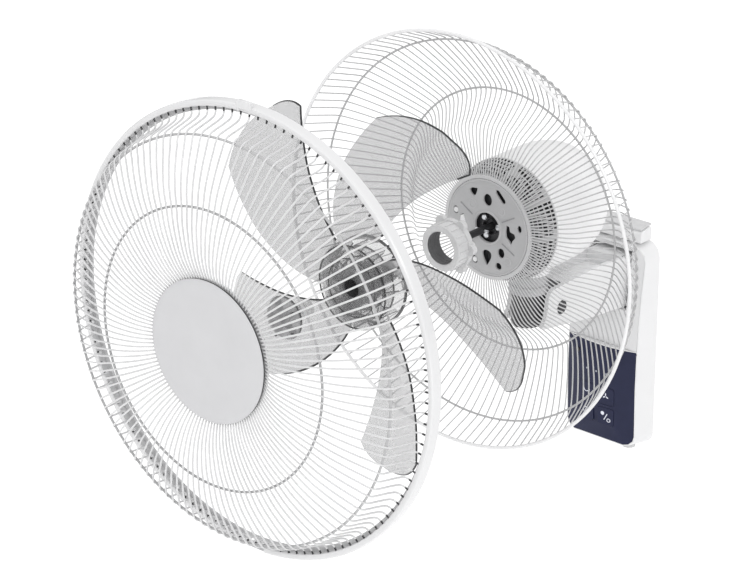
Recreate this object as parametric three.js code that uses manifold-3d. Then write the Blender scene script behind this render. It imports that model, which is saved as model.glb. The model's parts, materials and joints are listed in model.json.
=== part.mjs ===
// Wall mounted fan, shown taken apart along its shaft: wall box and arm, tilting and
// oscillating motor head with the rear guard, ring nut, blade wheel, spinner and front guard.
// Millimetres, +Z up. The fan faces -Y. The origin is the middle of the wall plate's back face,
// which lies on the wall (the plane Y = 0).
import * as THREE from 'three';
import { mergeVertices } from 'three/addons/utils/BufferGeometryUtils.js';
import Module from 'manifold-3d';

const wasm = await Module();
wasm.setup();

// ---------------------------------------------------------------- driving dimensions
const AXIS_Z = 196;          // height of the fan's shaft over the middle of the wall plate
const RIM_Y = -291;          // plane of the rear guard's rim
const GAP = 0.3;             // clearance kept between touching pieces

// rear guard
const RIM_R = 222.5;         // rim wire, centre radius
const RIM_WIRE = 2.5;        // rim wire, radius of its section
const CORNER_R = 206;        // second ring, at the corner of the bowl
const CORNER_DEPTH = 33;     // its distance from the rim plane
const DEEP_R = 142.4;        // first ring, the deepest part of the rear bowl
const DEEP_DEPTH = 83.5;
const PLATE_R = 52.5;        // round plate in the middle of the rear guard
const PLATE_DEPTH = 53.6;    // its front face, behind the rim plane
const PLATE_T = 2.2;
const PLATE_HOLE_R = 16.5;
const SPOKES = 14;           // radial wires carried by each guard in this model
const SPOKE_HALF = 1.1;      // half width of a radial wire
const RING_HALF = 1.5;       // radius of a ring wire

// front guard, pulled forward
const GUARD_TRAVEL = 297;    // how far the front guard moves back to close on the rear one
const FRONT_RIM = -298;      // middle of the front rim, from the rear rim plane
const FRONT_RIM_R = 231;     // outer radius of the front rim
const FRONT_CORNER = -340.4;
const FRONT_CORNER_R = 205.8;
const FRONT_RING1 = -361.2;
const FRONT_RING1_R = 141.8;
const BADGE_R = 72.4;
const BADGE_FRONT = -368;

// blade wheel, pulled forward
const WHEEL_TRAVEL = 150;
const WHEEL_MID = -148;      // middle plane of the blades, from the rear rim plane
const WHEEL_R = 203;         // 16 inch wheel
const HUB_R = 47;
const BLADES = 5;

// spinner and ring nut, pulled forward
const SPINNER_REAR = -257;   // back face of the spinner's cap
const SPINNER_R = 22;
const NUT_FRONT = -22.8;     // front face of the ring nut
const NUT_R = 25;

// motor
const SHAFT_R = 4;
const SHAFT_TIP = 14.8;
const SHELL_R = 66;
const NECK_Y = 125;          // axis of the head's side to side swing, behind the rim plane
const TILT_Y = 149.5;        // axis of the tilt
const TILT_Z = -113;         // below the shaft

// wall box, from the shaft height down and from the rim plane back
const BOX_TOP = -75;
const BOX_BOTTOM = -318;
const WALL = 291;            // the wall, behind the rim plane
const BOX_HALF = 52;         // half width at the wall
const FACE_HALF = 47.5;      // half width at the front face
const BULGE = 8;             // how far the front face bows out in the middle

// ---------------------------------------------------------------- colours
const WHITE = { color: 0xf2f2f0, roughness: 0.35, metalness: 0.0 };
const PALE = { color: 0xdcdcda, roughness: 0.5, metalness: 0.0 };
const GREY = { color: 0xc4c4c2, roughness: 0.5, metalness: 0.0 };
const PLATE_GREY = { color: 0xbebebc, roughness: 0.55, metalness: 0.1 };
const NAVY = { color: 0x363a58, roughness: 0.45, metalness: 0.0 };
const SMOKE = { color: 0xb4b6b8, roughness: 0.2, metalness: 0.0 };
const DARK = { color: 0x333333, roughness: 0.45, metalness: 0.6 };
const BLACK = { color: 0x1c1c1c, roughness: 0.6, metalness: 0.0 };
const STEEL = { color: 0xa8a9ab, roughness: 0.35, metalness: 0.9 };
const IRON = { color: 0x6c6e70, roughness: 0.5, metalness: 0.8 };
const COPPER = { color: 0xa5542c, roughness: 0.4, metalness: 0.8 };
const BRASS = { color: 0xb08d4a, roughness: 0.35, metalness: 0.9 };
const BOARD = { color: 0x2f6b3a, roughness: 0.6, metalness: 0.0 };
const WIRE_WHITE = { color: 0xd4d4d2, roughness: 0.4, metalness: 0.1 };

// ---------------------------------------------------------------- geometry helpers
// Positions below are given as (x, y behind the rim plane, z from the shaft height).
const ORIGIN = new THREE.Vector3(0, RIM_Y, AXIS_Z);

function solid(geometry) {
  let g = geometry.clone();
  for (const name of Object.keys(g.attributes)) if (name !== 'position') g.deleteAttribute(name);
  g = mergeVertices(g, 1e-4);
  const index = g.index.array;
  const keep = [];
  for (let i = 0; i < index.length; i += 3) {
    const a = index[i], b = index[i + 1], c = index[i + 2];
    if (a !== b && b !== c && a !== c) keep.push(a, b, c);
  }
  const p = g.attributes.position.array;
  let volume = 0;
  for (let i = 0; i < keep.length; i += 3) {
    const a = 3 * keep[i], b = 3 * keep[i + 1], c = 3 * keep[i + 2];
    volume += p[a] * (p[b + 1] * p[c + 2] - p[b + 2] * p[c + 1])
      - p[a + 1] * (p[b] * p[c + 2] - p[b + 2] * p[c])
      + p[a + 2] * (p[b] * p[c + 1] - p[b + 1] * p[c]);
  }
  if (volume < 0) for (let i = 0; i < keep.length; i += 3) [keep[i], keep[i + 1]] = [keep[i + 1], keep[i]];
  return new wasm.Manifold(new wasm.Mesh({
    numProp: 3, vertProperties: new Float32Array(p), triVerts: new Uint32Array(keep),
  }));
}
const join = (...parts) => parts.reduce((a, b) => a.add(b));
const cut = (body, ...tools) => tools.reduce((a, b) => a.subtract(b), body);

const box = (x0, x1, y0, y1, z0, z1) => {
  const g = new THREE.BoxGeometry(x1 - x0, y1 - y0, z1 - z0);
  g.translate((x0 + x1) / 2, (y0 + y1) / 2, (z0 + z1) / 2);
  return solid(g);
};
// turned about the shaft axis; profile of [radius, y]
function lathe(profile, segments = 32) {
  return solid(new THREE.LatheGeometry(profile.map(([r, y]) => new THREE.Vector2(r, y)), segments));
}
const tubeY = (r0, r1, y0, y1, segments = 16) =>
  lathe([[r0, y0], [r1, y0], [r1, y1], [r0, y1], [r0, y0]], segments);
function rod(axis, r, a0, a1, u, v, segments = 12) {
  const g = new THREE.CylinderGeometry(r, r, a1 - a0, segments);
  if (axis === 'x') { g.rotateZ(-Math.PI / 2); g.translate((a0 + a1) / 2, u, v); }
  if (axis === 'y') g.translate(u, (a0 + a1) / 2, v);
  if (axis === 'z') { g.rotateX(Math.PI / 2); g.translate(u, v, (a0 + a1) / 2); }
  return solid(g);
}
// side profile of [y, z] points, extruded along X
function extrudeX(points, x0, x1) {
  const g = new THREE.ExtrudeGeometry(new THREE.Shape(points.map(([y, z]) => new THREE.Vector2(y, z))),
    { depth: x1 - x0, bevelEnabled: false });
  g.applyMatrix4(new THREE.Matrix4().makeBasis(new THREE.Vector3(0, 1, 0), new THREE.Vector3(0, 0, 1), new THREE.Vector3(1, 0, 0)));
  g.translate(x0, 0, 0);
  return solid(g);
}
// front outline of [x, z] points, extruded along Y
function extrudeY(points, y0, y1) {
  const g = new THREE.ExtrudeGeometry(new THREE.Shape(points.map(([x, z]) => new THREE.Vector2(x, z))),
    { depth: y1 - y0, bevelEnabled: false });
  g.applyMatrix4(new THREE.Matrix4().makeBasis(new THREE.Vector3(1, 0, 0), new THREE.Vector3(0, 0, 1), new THREE.Vector3(0, -1, 0)));
  g.translate(0, y1, 0);
  return solid(g);
}
// plan outline of [x, y] points, extruded along Z
function extrudeZ(points, z0, z1) {
  const g = new THREE.ExtrudeGeometry(new THREE.Shape(points.map(([x, y]) => new THREE.Vector2(x, y))),
    { depth: z1 - z0, bevelEnabled: false });
  g.translate(0, 0, z0);
  return solid(g);
}
function roundedRect(x0, x1, z0, z1, r, steps = 4, levels = []) {
  // r: radii at [right top, left top, left bottom, right bottom]; levels: heights that get a point on both sides
  const out = [];
  const side = levels.filter((z) => z > z0 + r[3] + 2 && z < z1 - r[0] - 2).sort((a, b) => a - b);
  const corner = (cx, cz, radius, start) => {
    for (let i = 0; i <= steps; i++) {
      const a = start + (Math.PI / 2) * (i / steps);
      out.push([cx + radius * Math.cos(a), cz + radius * Math.sin(a)]);
    }
  };
  corner(x1 - r[0], z1 - r[0], r[0], 0);
  corner(x0 + r[1], z1 - r[1], r[1], Math.PI / 2);
  for (const z of [...side].reverse()) out.push([x0, z]);
  corner(x0 + r[2], z0 + r[2], r[2], Math.PI);
  corner(x1 - r[3], z0 + r[3], r[3], 1.5 * Math.PI);
  for (const z of side) out.push([x1, z]);
  return out;
}
// a closed slab between two height fields over two matching outlines
function slab(front, back, frontY, backY, rings = 4) {
  const n = front.length;
  const centre = (o) => [0, (Math.max(...o.map((p) => p[1])) + Math.min(...o.map((p) => p[1]))) / 2];
  const positions = [];
  const layer = (outline, height) => {
    const [cx, cz] = centre(outline);
    const base = positions.length / 3;
    positions.push(cx, height(cx, cz), cz);
    for (let k = 1; k <= rings; k++) for (const [x, z] of outline) {
      const px = cx + (x - cx) * (k / rings), pz = cz + (z - cz) * (k / rings);
      positions.push(px, height(px, pz), pz);
    }
    return base;
  };
  const f = layer(front, frontY), b = layer(back, backY);
  const at = (base, k, i) => base + 1 + (k - 1) * n + (i % n);
  const tris = [];
  for (const [base, flip] of [[f, false], [b, true]]) {
    const push = (a, c, d) => (flip ? tris.push(a, d, c) : tris.push(a, c, d));
    for (let i = 0; i < n; i++) push(base, at(base, 1, i), at(base, 1, i + 1));
    for (let k = 1; k < rings; k++) for (let i = 0; i < n; i++) {
      push(at(base, k, i), at(base, k + 1, i), at(base, k + 1, i + 1));
      push(at(base, k, i), at(base, k + 1, i + 1), at(base, k, i + 1));
    }
  }
  for (let i = 0; i < n; i++) {
    tris.push(at(f, rings, i), at(b, rings, i), at(b, rings, i + 1));
    tris.push(at(f, rings, i), at(b, rings, i + 1), at(f, rings, i + 1));
  }
  const g = new THREE.BufferGeometry();
  g.setAttribute('position', new THREE.Float32BufferAttribute(positions, 3));
  g.setIndex(tris);
  return solid(g);
}
// a wire of square section through points that lie in one plane with the shaft axis
function spoke(profile, angle, half) {
  const out = new THREE.Vector3(Math.cos(angle), 0, Math.sin(angle));
  const side = new THREE.Vector3(-Math.sin(angle), 0, Math.cos(angle));
  const axial = new THREE.Vector3(0, 1, 0);
  const positions = [];
  const n = profile.length;
  for (let i = 0; i < n; i++) {
    const a = profile[Math.max(0, i - 1)], b = profile[Math.min(n - 1, i + 1)];
    const t = new THREE.Vector2(b[0] - a[0], b[1] - a[1]).normalize();
    const normal = out.clone().multiplyScalar(-t.y).addScaledVector(axial, t.x);
    const c = out.clone().multiplyScalar(profile[i][0]).addScaledVector(axial, profile[i][1]);
    for (const [u, v] of [[1, 1], [-1, 1], [-1, -1], [1, -1]]) {
      const p = c.clone().addScaledVector(side, u * half).addScaledVector(normal, v * half);
      positions.push(p.x, p.y, p.z);
    }
  }
  const tris = [];
  for (let i = 0; i + 1 < n; i++) for (let k = 0; k < 4; k++) {
    const a = 4 * i + k, b = 4 * i + ((k + 1) % 4), c = a + 4, d = b + 4;
    tris.push(a, b, d, a, d, c);
  }
  tris.push(0, 2, 1, 0, 3, 2);
  const e = 4 * (n - 1);
  tris.push(e, e + 1, e + 2, e, e + 2, e + 3);
  const g = new THREE.BufferGeometry();
  g.setAttribute('position', new THREE.Float32BufferAttribute(positions, 3));
  g.setIndex(tris);
  return solid(g);
}
function ring(r, y, radius, segments = 48, sides = 6) {
  const profile = [];
  for (let i = 0; i <= sides; i++) {
    const a = (i / sides) * 2 * Math.PI;
    profile.push([r + radius * Math.cos(a), y + radius * Math.sin(a)]);
  }
  profile[sides] = profile[0];
  return lathe(profile, segments);
}

const fan = new THREE.Group();
function piece(name, body, look) {
  const mesh = body.getMesh();
  const g = new THREE.BufferGeometry();
  g.setAttribute('position', new THREE.BufferAttribute(new Float32Array(mesh.vertProperties), 3));
  g.setIndex(new THREE.BufferAttribute(new Uint32Array(mesh.triVerts), 1));
  g.computeVertexNormals();
  const m = new THREE.Mesh(g, new THREE.MeshStandardMaterial(look));
  m.name = name;
  m.position.copy(ORIGIN);
  fan.add(m);
}
function screw(name, axis, direction, u, v, start, length, head = 3.6, shank = 1.5) {
  // head at start, shank running along direction (+1 or -1) of the axis
  const span = (a, b) => (direction > 0 ? [start + a, start + b] : [start - b, start - a]);
  const [h0, h1] = span(0, 2), [s0, s1] = span(1.9, length);
  piece(name, join(rod(axis, head, h0, h1, u, v, 8), rod(axis, shank, s0, s1, u, v, 6)), STEEL);
}

// ---------------------------------------------------------------- wall box
// depth of the box's side edge at height z
const PROFILE = [[-318, 27.5], [-290, 28.2], [-241, 29.6], [-192, 28.6], [-158, 26.4], [-127, 23.4], [-109, 20.8], [-91, 18.6], [-75, 17.2]];
function edgeDepth(z) {
  for (let i = 0; i + 1 < PROFILE.length; i++) {
    const [z0, d0] = PROFILE[i], [z1, d1] = PROFILE[i + 1];
    if (z <= z1) return d0 + (d1 - d0) * Math.max(0, (z - z0) / (z1 - z0));
  }
  return PROFILE[PROFILE.length - 1][1];
}
const faceY = (inset) => (x, z) => WALL - edgeDepth(z) - BULGE * (1 - (x / FACE_HALF) ** 2) + inset;
const level = (y) => () => y;
const LEVELS = [-127, -165, -205, -245];
const outline = (half, grow) => roundedRect(-half, half, BOX_BOTTOM - grow, BOX_TOP + grow, [18, 18, 13, 13], 3, LEVELS);
const frontOutline = (half, shrink) => roundedRect(-half, half, BOX_BOTTOM + 3 + shrink, BOX_TOP - 3 - shrink, [18, 18, 13, 13], 3, LEVELS);

const armHole = box(-31, 31, 230, 288, -152, -84);
const boxShell = cut(
  slab(frontOutline(FACE_HALF, 0), outline(BOX_HALF, 0), faceY(0), level(WALL), 3),
  slab(frontOutline(FACE_HALF - 2.6, 2.6), outline(BOX_HALF - 2.6, -2.6), faceY(7.4), level(WALL + 1), 4),
  // recess of the front plate and of the control panel
  slab(roundedRect(-46.2, 46.2, -198.5, BOX_TOP - 5, [16, 16, 1, 1], 3, LEVELS), roundedRect(-46.2, 46.2, -198.5, BOX_TOP - 5, [16, 16, 1, 1], 3, LEVELS), level(220), faceY(4.2), 4),
  slab(roundedRect(-46.2, 46.2, BOX_BOTTOM + 4.2, -199.2, [1, 1, 12, 12], 3, LEVELS), roundedRect(-46.2, 46.2, BOX_BOTTOM + 4.2, -199.2, [1, 1, 12, 12], 3, LEVELS), level(220), faceY(4.2), 4),
  armHole,
  // windows behind the buttons, open to the board
  box(-26, 32, 240, 280, -304, -236),
  rod('y', 5.4, 230, 275, -31, -215, 10),
  rod('z', 5.2, -322, -310, 26, 282, 12), // gland hole in the underside
);
piece('box_shell', boxShell, WHITE);

const fasciaOutline = roundedRect(-45.9, 45.9, -198.2, BOX_TOP - 5.3, [15.7, 15.7, 1, 1], 3, LEVELS);
piece('front_plate', cut(slab(fasciaOutline, fasciaOutline, faceY(0), faceY(2.7), 3), armHole), GREY);

const BUTTONS = [[12, -284, 'power_button'], [12, -259, 'speed_button'], [-15, -259, 'swing_button'], [-15, -284, 'timer_button']];
const panelOutline = roundedRect(-45.9, 45.9, BOX_BOTTOM + 4.5, -199.5, [1, 1, 11.7, 11.7], 3, LEVELS);
let panel = slab(panelOutline, panelOutline, faceY(-0.4), faceY(2.7), 3);
for (const [x, z] of BUTTONS) panel = panel.subtract(extrudeY(roundedRect(x - 10.8, x + 10.8, z - 10.8, z + 10.8, [3, 3, 3, 3], 2), 235, 275));
panel = panel.subtract(rod('y', 3, 235, 275, -31, -215, 12));
piece('control_panel', panel, NAVY);
for (const [x, z, name] of BUTTONS) {
  const o2 = roundedRect(-10.4, 10.4, z - 10.4, z + 10.4, [2.6, 2.6, 2.6, 2.6], 2);
  const shifted = (f) => (px, pz) => f(px + x, pz);
  const g = slab(o2, o2, shifted(faceY(-0.6)), shifted(faceY(1.6)), 1).translate([x, 0, 0]);
  const stem = rod('y', 2.2, faceY(1)(x, z), 270.4, x, z, 8);
  piece(name, join(g, stem), NAVY);
}
piece('receiver_window', join(rod('y', 2.7, faceY(-0.4)(-31, -215), 264, -31, -215, 10), rod('y', 4.2, 262.2, 264, -31, -215, 10)), BLACK);
const board = cut(box(-38, 38, 272, 273.6, -302, -206), rod('y', 2, 260, 280, -34, -298, 10), rod('y', 2, 260, 280, 34, -298, 10), rod('y', 2, 260, 280, 34, -210, 10));
let boardParts = join(board, box(-20, 6, 273.4, 283, -236, -214), rod('z', 5, -240, -212, 24, 278.4, 12), box(-28.5, -12, 273.4, 279, -292, -270));
for (const [x, z] of BUTTONS) boardParts = boardParts.add(box(x - 3, x + 3, 271.2, 272.2, z - 3, z + 3));
piece('control_board', boardParts, BOARD);
screw('board_screw_left', 'y', 1, -34, -298, 269.6, 14);
screw('board_screw_right', 'y', 1, 34, -298, 269.6, 14);

// wall plate with keyhole slots, posts for the board and the shell
const keyhole = (x, z) => join(rod('y', 4.5, 284, 295, x, z, 12), box(x - 2.2, x + 2.2, 284, 295, z, z + 11));
let wallPlate = cut(extrudeY(roundedRect(-45, 45, -308, -82, [12, 12, 8, 8], 3), 289.3, WALL), keyhole(0, -178), keyhole(-28, -246), keyhole(28, -246));
for (const x of [-34, 34]) wallPlate = wallPlate.add(cut(rod('y', 4, 274, 290, x, -298, 12), rod('y', 1.75, 270, 288, x, -298, 8)));
for (const [x, z] of [[-22, -95], [22, -95], [-22, -146], [22, -146]]) {
  wallPlate = wallPlate.add(cut(rod('y', 4, 286.6, 290, x, z, 12), rod('y', 1.75, 280, 289.2, x, z, 8)));
  wallPlate = wallPlate.subtract(rod('y', 1.75, 286, 290.2, x, z, 8));
}
piece('wall_plate', wallPlate, STEEL);

// hanger on top of the box, clipped to the shell's top edge
piece('top_hanger', join(
  extrudeX([[270, -73.6], [289.4, -73.6], [289.4, -60], [287, -58], [272, -60.5], [270, -63]], -41, 41),
), PALE);
piece('hanger_pad', extrudeX([[271.5, -59.9], [287, -57.6], [290.4, -57.6], [290.4, -55.4], [284, -54.8], [271.5, -57.8]], -39, 39), BLACK);

// cable gland for the mains lead, in the underside
piece('cable_gland', cut(join(rod('z', 5, -325, -309, 26, 282, 12), rod('z', 7.5, -325, -318.4, 26, 282, 12), rod('z', 7, -312.4, -309, 26, 282, 12)), rod('z', 3.2, -330, -300, 26, 282, 12)), BLACK);

// ---------------------------------------------------------------- arm
const CHEEK = 27;            // outer face of each cheek
const FORK = 22;             // inner face
const armSide = [[134, -88], [204, -86], [240, -88.5], [262, -91], [284, -91], [284, -149], [262, -149], [240, -146.5], [192, -141], [160, -136], [133, -131.5], [118, -129.5],
  [117, -126], [122, -119], [125, -108], [126, -98], [129, -91]];
let arm = extrudeX(armSide, -CHEEK, CHEEK);
arm = cut(arm,
  box(-FORK, FORK, 100, 176, -160, -60),                    // fork for the tilt knuckle
  box(-FORK, FORK, 175, 256, -105, -60),                    // trough on top
  box(-FORK, FORK, 175, 262, -160, -112),                   // open underside
  rod('x', 4.3, -40, 40, TILT_Y, TILT_Z, 12),
  rod('x', 8.2, 24.4, 40, TILT_Y, TILT_Z, 12),              // recess of the pivot in the near cheek
  rod('x', 8.2, -40, -24.4, TILT_Y, TILT_Z, 12),
);
let foot = extrudeY(roundedRect(-36, 36, -156, -84.5, [5, 5, 5, 5], 3), 283, 286.3);
foot = cut(foot, box(-12, 12, 280, 288, -136, -104));
arm = arm.add(foot);
for (const [x, z] of [[-22, -95], [22, -95], [-22, -146], [22, -146]]) arm = cut(arm, rod('y', 2.2, 277, 288, x, z, 10), rod('y', 4.2, 262, 283.2, x, z, 12));
piece('arm', arm, PALE);
[[-22, -95], [22, -95], [-22, -146], [22, -146]].forEach(([x, z], i) => screw(`arm_screw_${i + 1}`, 'y', 1, x, z, 280.9, 8.1));

// ---------------------------------------------------------------- tilt knuckle
const drum = [];
for (let i = 0; i <= 12; i++) { const a = Math.PI + (Math.PI * i) / 12; drum.push([17 * Math.cos(a), NECK_Y + 19 * Math.sin(a)]); }
let knuckle = extrudeZ([...drum, [17, 158], [12, 166], [-12, 166], [-17, 158]], -130, -93);
knuckle = cut(knuckle,
  rod('x', 4.3, -40, 40, TILT_Y, TILT_Z, 12),
  rod('z', 6.3, -124, -60, 0, NECK_Y, 12),
  box(-9, 9, 136, 143, -140, -120),
);
piece('tilt_knuckle', knuckle, PALE);
piece('tilt_bolt', join(rod('x', 4, -27, 22.6, TILT_Y, TILT_Z, 12), rod('x', 7.4, 24.7, 27.6, TILT_Y, TILT_Z, 12), rod('x', 4, 22, 25, TILT_Y, TILT_Z, 12)), DARK);
piece('tilt_nut', cut(rod('x', 7, -28.6, -24.7, TILT_Y, TILT_Z, 6), rod('x', 4.3, -30, -20, TILT_Y, TILT_Z, 12)), STEEL);
piece('tilt_washer_right', cut(rod('x', 12, 17.3, 21.7, TILT_Y, TILT_Z, 12), rod('x', 4.3, 10, 30, TILT_Y, TILT_Z, 12)), BLACK);
piece('tilt_washer_left', cut(rod('x', 12, -21.7, -17.3, TILT_Y, TILT_Z, 12), rod('x', 4.3, -30, -10, TILT_Y, TILT_Z, 12)), BLACK);
// upright pin that the head swings on, with the fixed rocker on its top
const ROCKER = 11;
piece('swing_pin', join(
  rod('z', 6, -123.6, -42, 0, NECK_Y, 12),
  extrudeZ(roundedRect(-5, ROCKER + 3.5, NECK_Y - 3.5, NECK_Y + 3.5, [3.4, 3.4, 3.4, 3.4], 3), -46, -42),
  rod('z', 2, -43, -36.4, ROCKER, NECK_Y, 10),
), STEEL);

// ---------------------------------------------------------------- motor head
// neck under the motor, part of the cast frame that carries the stator
let frame = join(
  cut(lathe([[49, 113], [58.5, 113], [58.5, 116], [49, 116], [49, 113]], 36)),
  cut(lathe([[8.4, 113], [52, 113], [52, 116], [12, 116], [12, 122.5], [8.4, 122.5], [8.4, 113]], 36)),
);
frame = frame.subtract(box(-40, 40, 100, 130, 16, 40)).subtract(box(-24, 24, 100, 116.5, -49, -32));
frame = frame.add(cut(join(
  rod('z', 19.5, -88.6, -53.6, 0, NECK_Y, 16),
  rod('z', 21.4, -92.6, -84, 0, NECK_Y, 16),
), rod('z', 6.4, -100, -48, 0, NECK_Y, 12)));
piece('motor_frame', frame, PALE);

// vented front shell of the motor
let shell = lathe([[8.4, 58.6], [51.5, 58.6], [57.5, 63], [62.5, 70], [SHELL_R, 88], [SHELL_R - 2.4, 88], [60.2, 71], [50.4, 61], [12, 61], [12, 68], [8.4, 68], [8.4, 58.6]], 24);
for (let i = 0; i < 6; i++) {
  const a = ((i + 0.5) / 6) * 2 * Math.PI;
  const g = new THREE.BoxGeometry(14, 6, 12);
  g.rotateY(-a);
  g.translate(30 * Math.cos(a), 60, 30 * Math.sin(a));
  shell = shell.subtract(solid(g));
}
for (let i = 0; i < 8; i++) {
  const a = ((i + 0.5) / 8) * 2 * Math.PI;
  const g = new THREE.BoxGeometry(20, 9, 14);
  g.rotateY(-a);
  g.translate(60 * Math.cos(a), 74, 60 * Math.sin(a));
  shell = shell.subtract(solid(g));
}
piece('motor_front_shell', shell, GREY);

// rear cover, open below for the neck
const coverOuter = [[SHELL_R, 88.3], [SHELL_R, 150], [62, 174], [50, 192], [30, 203], [0, 206]];
const coverInner = [[0, 203.4], [29, 200.4], [48, 190], [59.6, 173], [SHELL_R - 2.4, 150], [SHELL_R - 2.4, 88.3]];
let cover = lathe([...coverOuter, ...coverInner, coverOuter[0]], 24);
cover = cut(cover, rod('z', 20.5, -80, -30, 0, NECK_Y, 16), rod('y', 1.9, 190, 215, 0, 0, 8));
for (let i = -2; i <= 2; i++) cover = cover.subtract(box(i * 11 - 3, i * 11 + 3, 168, 215, 24, 34));
piece('rear_cover', cover, PALE);
screw('cover_screw', 'y', -1, 0, 0, 208.5, 30);

piece('stator_core', (() => {
  let s = tubeY(33, 56.5, 74, 100, 28);
  for (let i = 0; i < 8; i++) {
    const a = (i / 8) * 2 * Math.PI;
    s = s.subtract(rod('y', 3.4, 70, 104, 39 * Math.cos(a), 39 * Math.sin(a), 8));
  }
  return s;
})(), IRON);
piece('winding_front', lathe([[35, 64.5], [48, 64.5], [52, 68], [52, 73.6], [35, 73.6], [35, 64.5]], 16), COPPER);
piece('winding_rear', lathe([[35, 100.4], [52, 100.4], [52, 107], [48, 111.5], [35, 111.5], [35, 100.4]], 16), COPPER);
piece('front_bearing', tubeY(SHAFT_R + 0.3, 8, 61, 68, 16), BRASS);
piece('rear_bearing', tubeY(SHAFT_R + 0.3, 8, 113.6, 122, 16), BRASS);
piece('start_capacitor', extrudeX([[128, 32], [146, 32], [146, 54], [143, 57], [131, 57], [128, 54]], -18, 12), BLACK);

// gearbox of the side to side swing, behind the rear bearing
const gearbox = cut(
  join(box(-12, 34, 140, 176, -16, 15), box(-12, 34, 140, 176, -16.1, 15.1)),
  box(-9.5, 31.5, 142.5, 173.5, -13.5, 12.6),
  rod('y', 7.6, 130, 150, 0, 0, 12),
  rod('z', 4, -30, 0, 18.6, 158, 12),
);
piece('gearbox', gearbox, WHITE);
piece('swing_gear', join(
  rod('z', 11.6, -5, 5, 18.6, 158, 16), rod('z', 3.5, -22, 5, 18.6, 158, 12),
  rod('z', 11, -24, -19.4, 18.6, 158, 12), rod('z', 2, -35.6, -23, 18.6 - 8, 158, 10),
), BRASS);
const LINK = Math.hypot(18.6 - 8 - ROCKER, 158 - NECK_Y);
const link = (() => {
  const g = new THREE.ExtrudeGeometry(new THREE.Shape(roundedRect(-4.5, 4.5, -5, LINK + 5, [4, 4, 4, 4], 3).map(([x, y]) => new THREE.Vector2(x, y))), { depth: 3, bevelEnabled: false });
  let s = solid(g).subtract(rod('z', 2.4, -5, 8, 0, 0, 10)).subtract(rod('z', 2.4, -5, 8, 0, LINK, 10));
  return s.rotate([0, 0, (Math.atan2(158 - NECK_Y, 18.6 - 8 - ROCKER) * 180) / Math.PI - 90]).translate([ROCKER, NECK_Y, -39.2]);
})();
piece('swing_link', link, STEEL);

// ---------------------------------------------------------------- rotor and shaft
piece('rotor_core', cut(tubeY(SHAFT_R + 0.3, 32.4, 75, 99, 24)), IRON);
piece('shaft', cut(rod('y', SHAFT_R, SHAFT_TIP, 171, 0, 0, 12), rod('x', 1.8, -10, 10, 45, 0, 12)), DARK);
piece('drive_pin', rod('x', 1.5, -8, 8, 45, 0, 12), STEEL);
piece('worm', tubeY(SHAFT_R + 0.3, 6.5, 146, 170, 12), BRASS);

// ---------------------------------------------------------------- rear guard
const bossAngles = [0, 72, 144, 216, 288].map((d) => ((d + 20) * Math.PI) / 180);
let guardPlate = tubeY(PLATE_HOLE_R, PLATE_R, PLATE_DEPTH, PLATE_DEPTH + PLATE_T, 40);
for (const a of bossAngles) guardPlate = guardPlate.subtract(rod('y', 4.4, 50, 60, 36 * Math.cos(a), 36 * Math.sin(a), 10));
for (const a of bossAngles) guardPlate = guardPlate.subtract(rod('y', 3, 50, 60, 43 * Math.cos(a + 0.62), 43 * Math.sin(a + 0.62), 10));
piece('guard_plate', guardPlate, PLATE_GREY);

const rearProfile = [[55, 55], [104, 60], [124, 77], [DEEP_R, DEEP_DEPTH], [CORNER_R, CORNER_DEPTH], [RIM_R, 0.5]];
let rear = ring(RIM_R, 0, RIM_WIRE, 32, 4);
rear = join(rear, ring(CORNER_R, CORNER_DEPTH + 1.2, RING_HALF, 28, 3), ring(DEEP_R, DEEP_DEPTH + 1.2, RING_HALF, 24, 3), tubeY(53.2, 57, 53.9, 56.1, 24));
for (let i = 0; i < SPOKES; i++) rear = rear.add(spoke(rearProfile, ((i + 0.5) / SPOKES) * 2 * Math.PI, SPOKE_HALF));
piece('rear_guard', rear, WIRE_WHITE);

// ---------------------------------------------------------------- ring nut
let nut = lathe([[13.5, NUT_FRONT], [NUT_R - 2, NUT_FRONT], [NUT_R, NUT_FRONT + 2], [NUT_R, -8], [27, -8], [27, -2], [15.8, -2], [15.8, 2.6], [13.5, 2.6], [13.5, NUT_FRONT]], 24);
for (let i = 0; i < 6; i++) {
  const a = (i / 6) * 2 * Math.PI;
  nut = nut.add(rod('y', 6, -8, -2, 26 * Math.cos(a), 26 * Math.sin(a), 12).subtract(rod('y', 15.9, -10, 0, 0, 0, 24)));
}
piece('guard_nut', nut, PALE);

// ---------------------------------------------------------------- blade wheel
const M = WHEEL_MID;
let wheel = lathe([[9.6, M - 12], [38, M - 12], [44, M - 10.5], [HUB_R, M - 7], [HUB_R, M + 18], [44.6, M + 18], [44.6, M - 8], [12, M - 8],
  [12, M + 20], [10.4, M + 22], [10.4, M + 46], [4.3, M + 46], [4.3, M + 20], [9.6, M + 20], [9.6, M - 12]], 20);
wheel = wheel.subtract(box(-12, 12, M + 40.6, M + 50, -2, 2));
const smooth = (t, stops) => {
  for (let i = 0; i + 1 < stops.length; i++) {
    const [a, va] = stops[i], [b, vb] = stops[i + 1];
    if (t <= b) return va + (vb - va) * Math.max(0, (t - a) / (b - a));
  }
  return stops[stops.length - 1][1];
};
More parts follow.
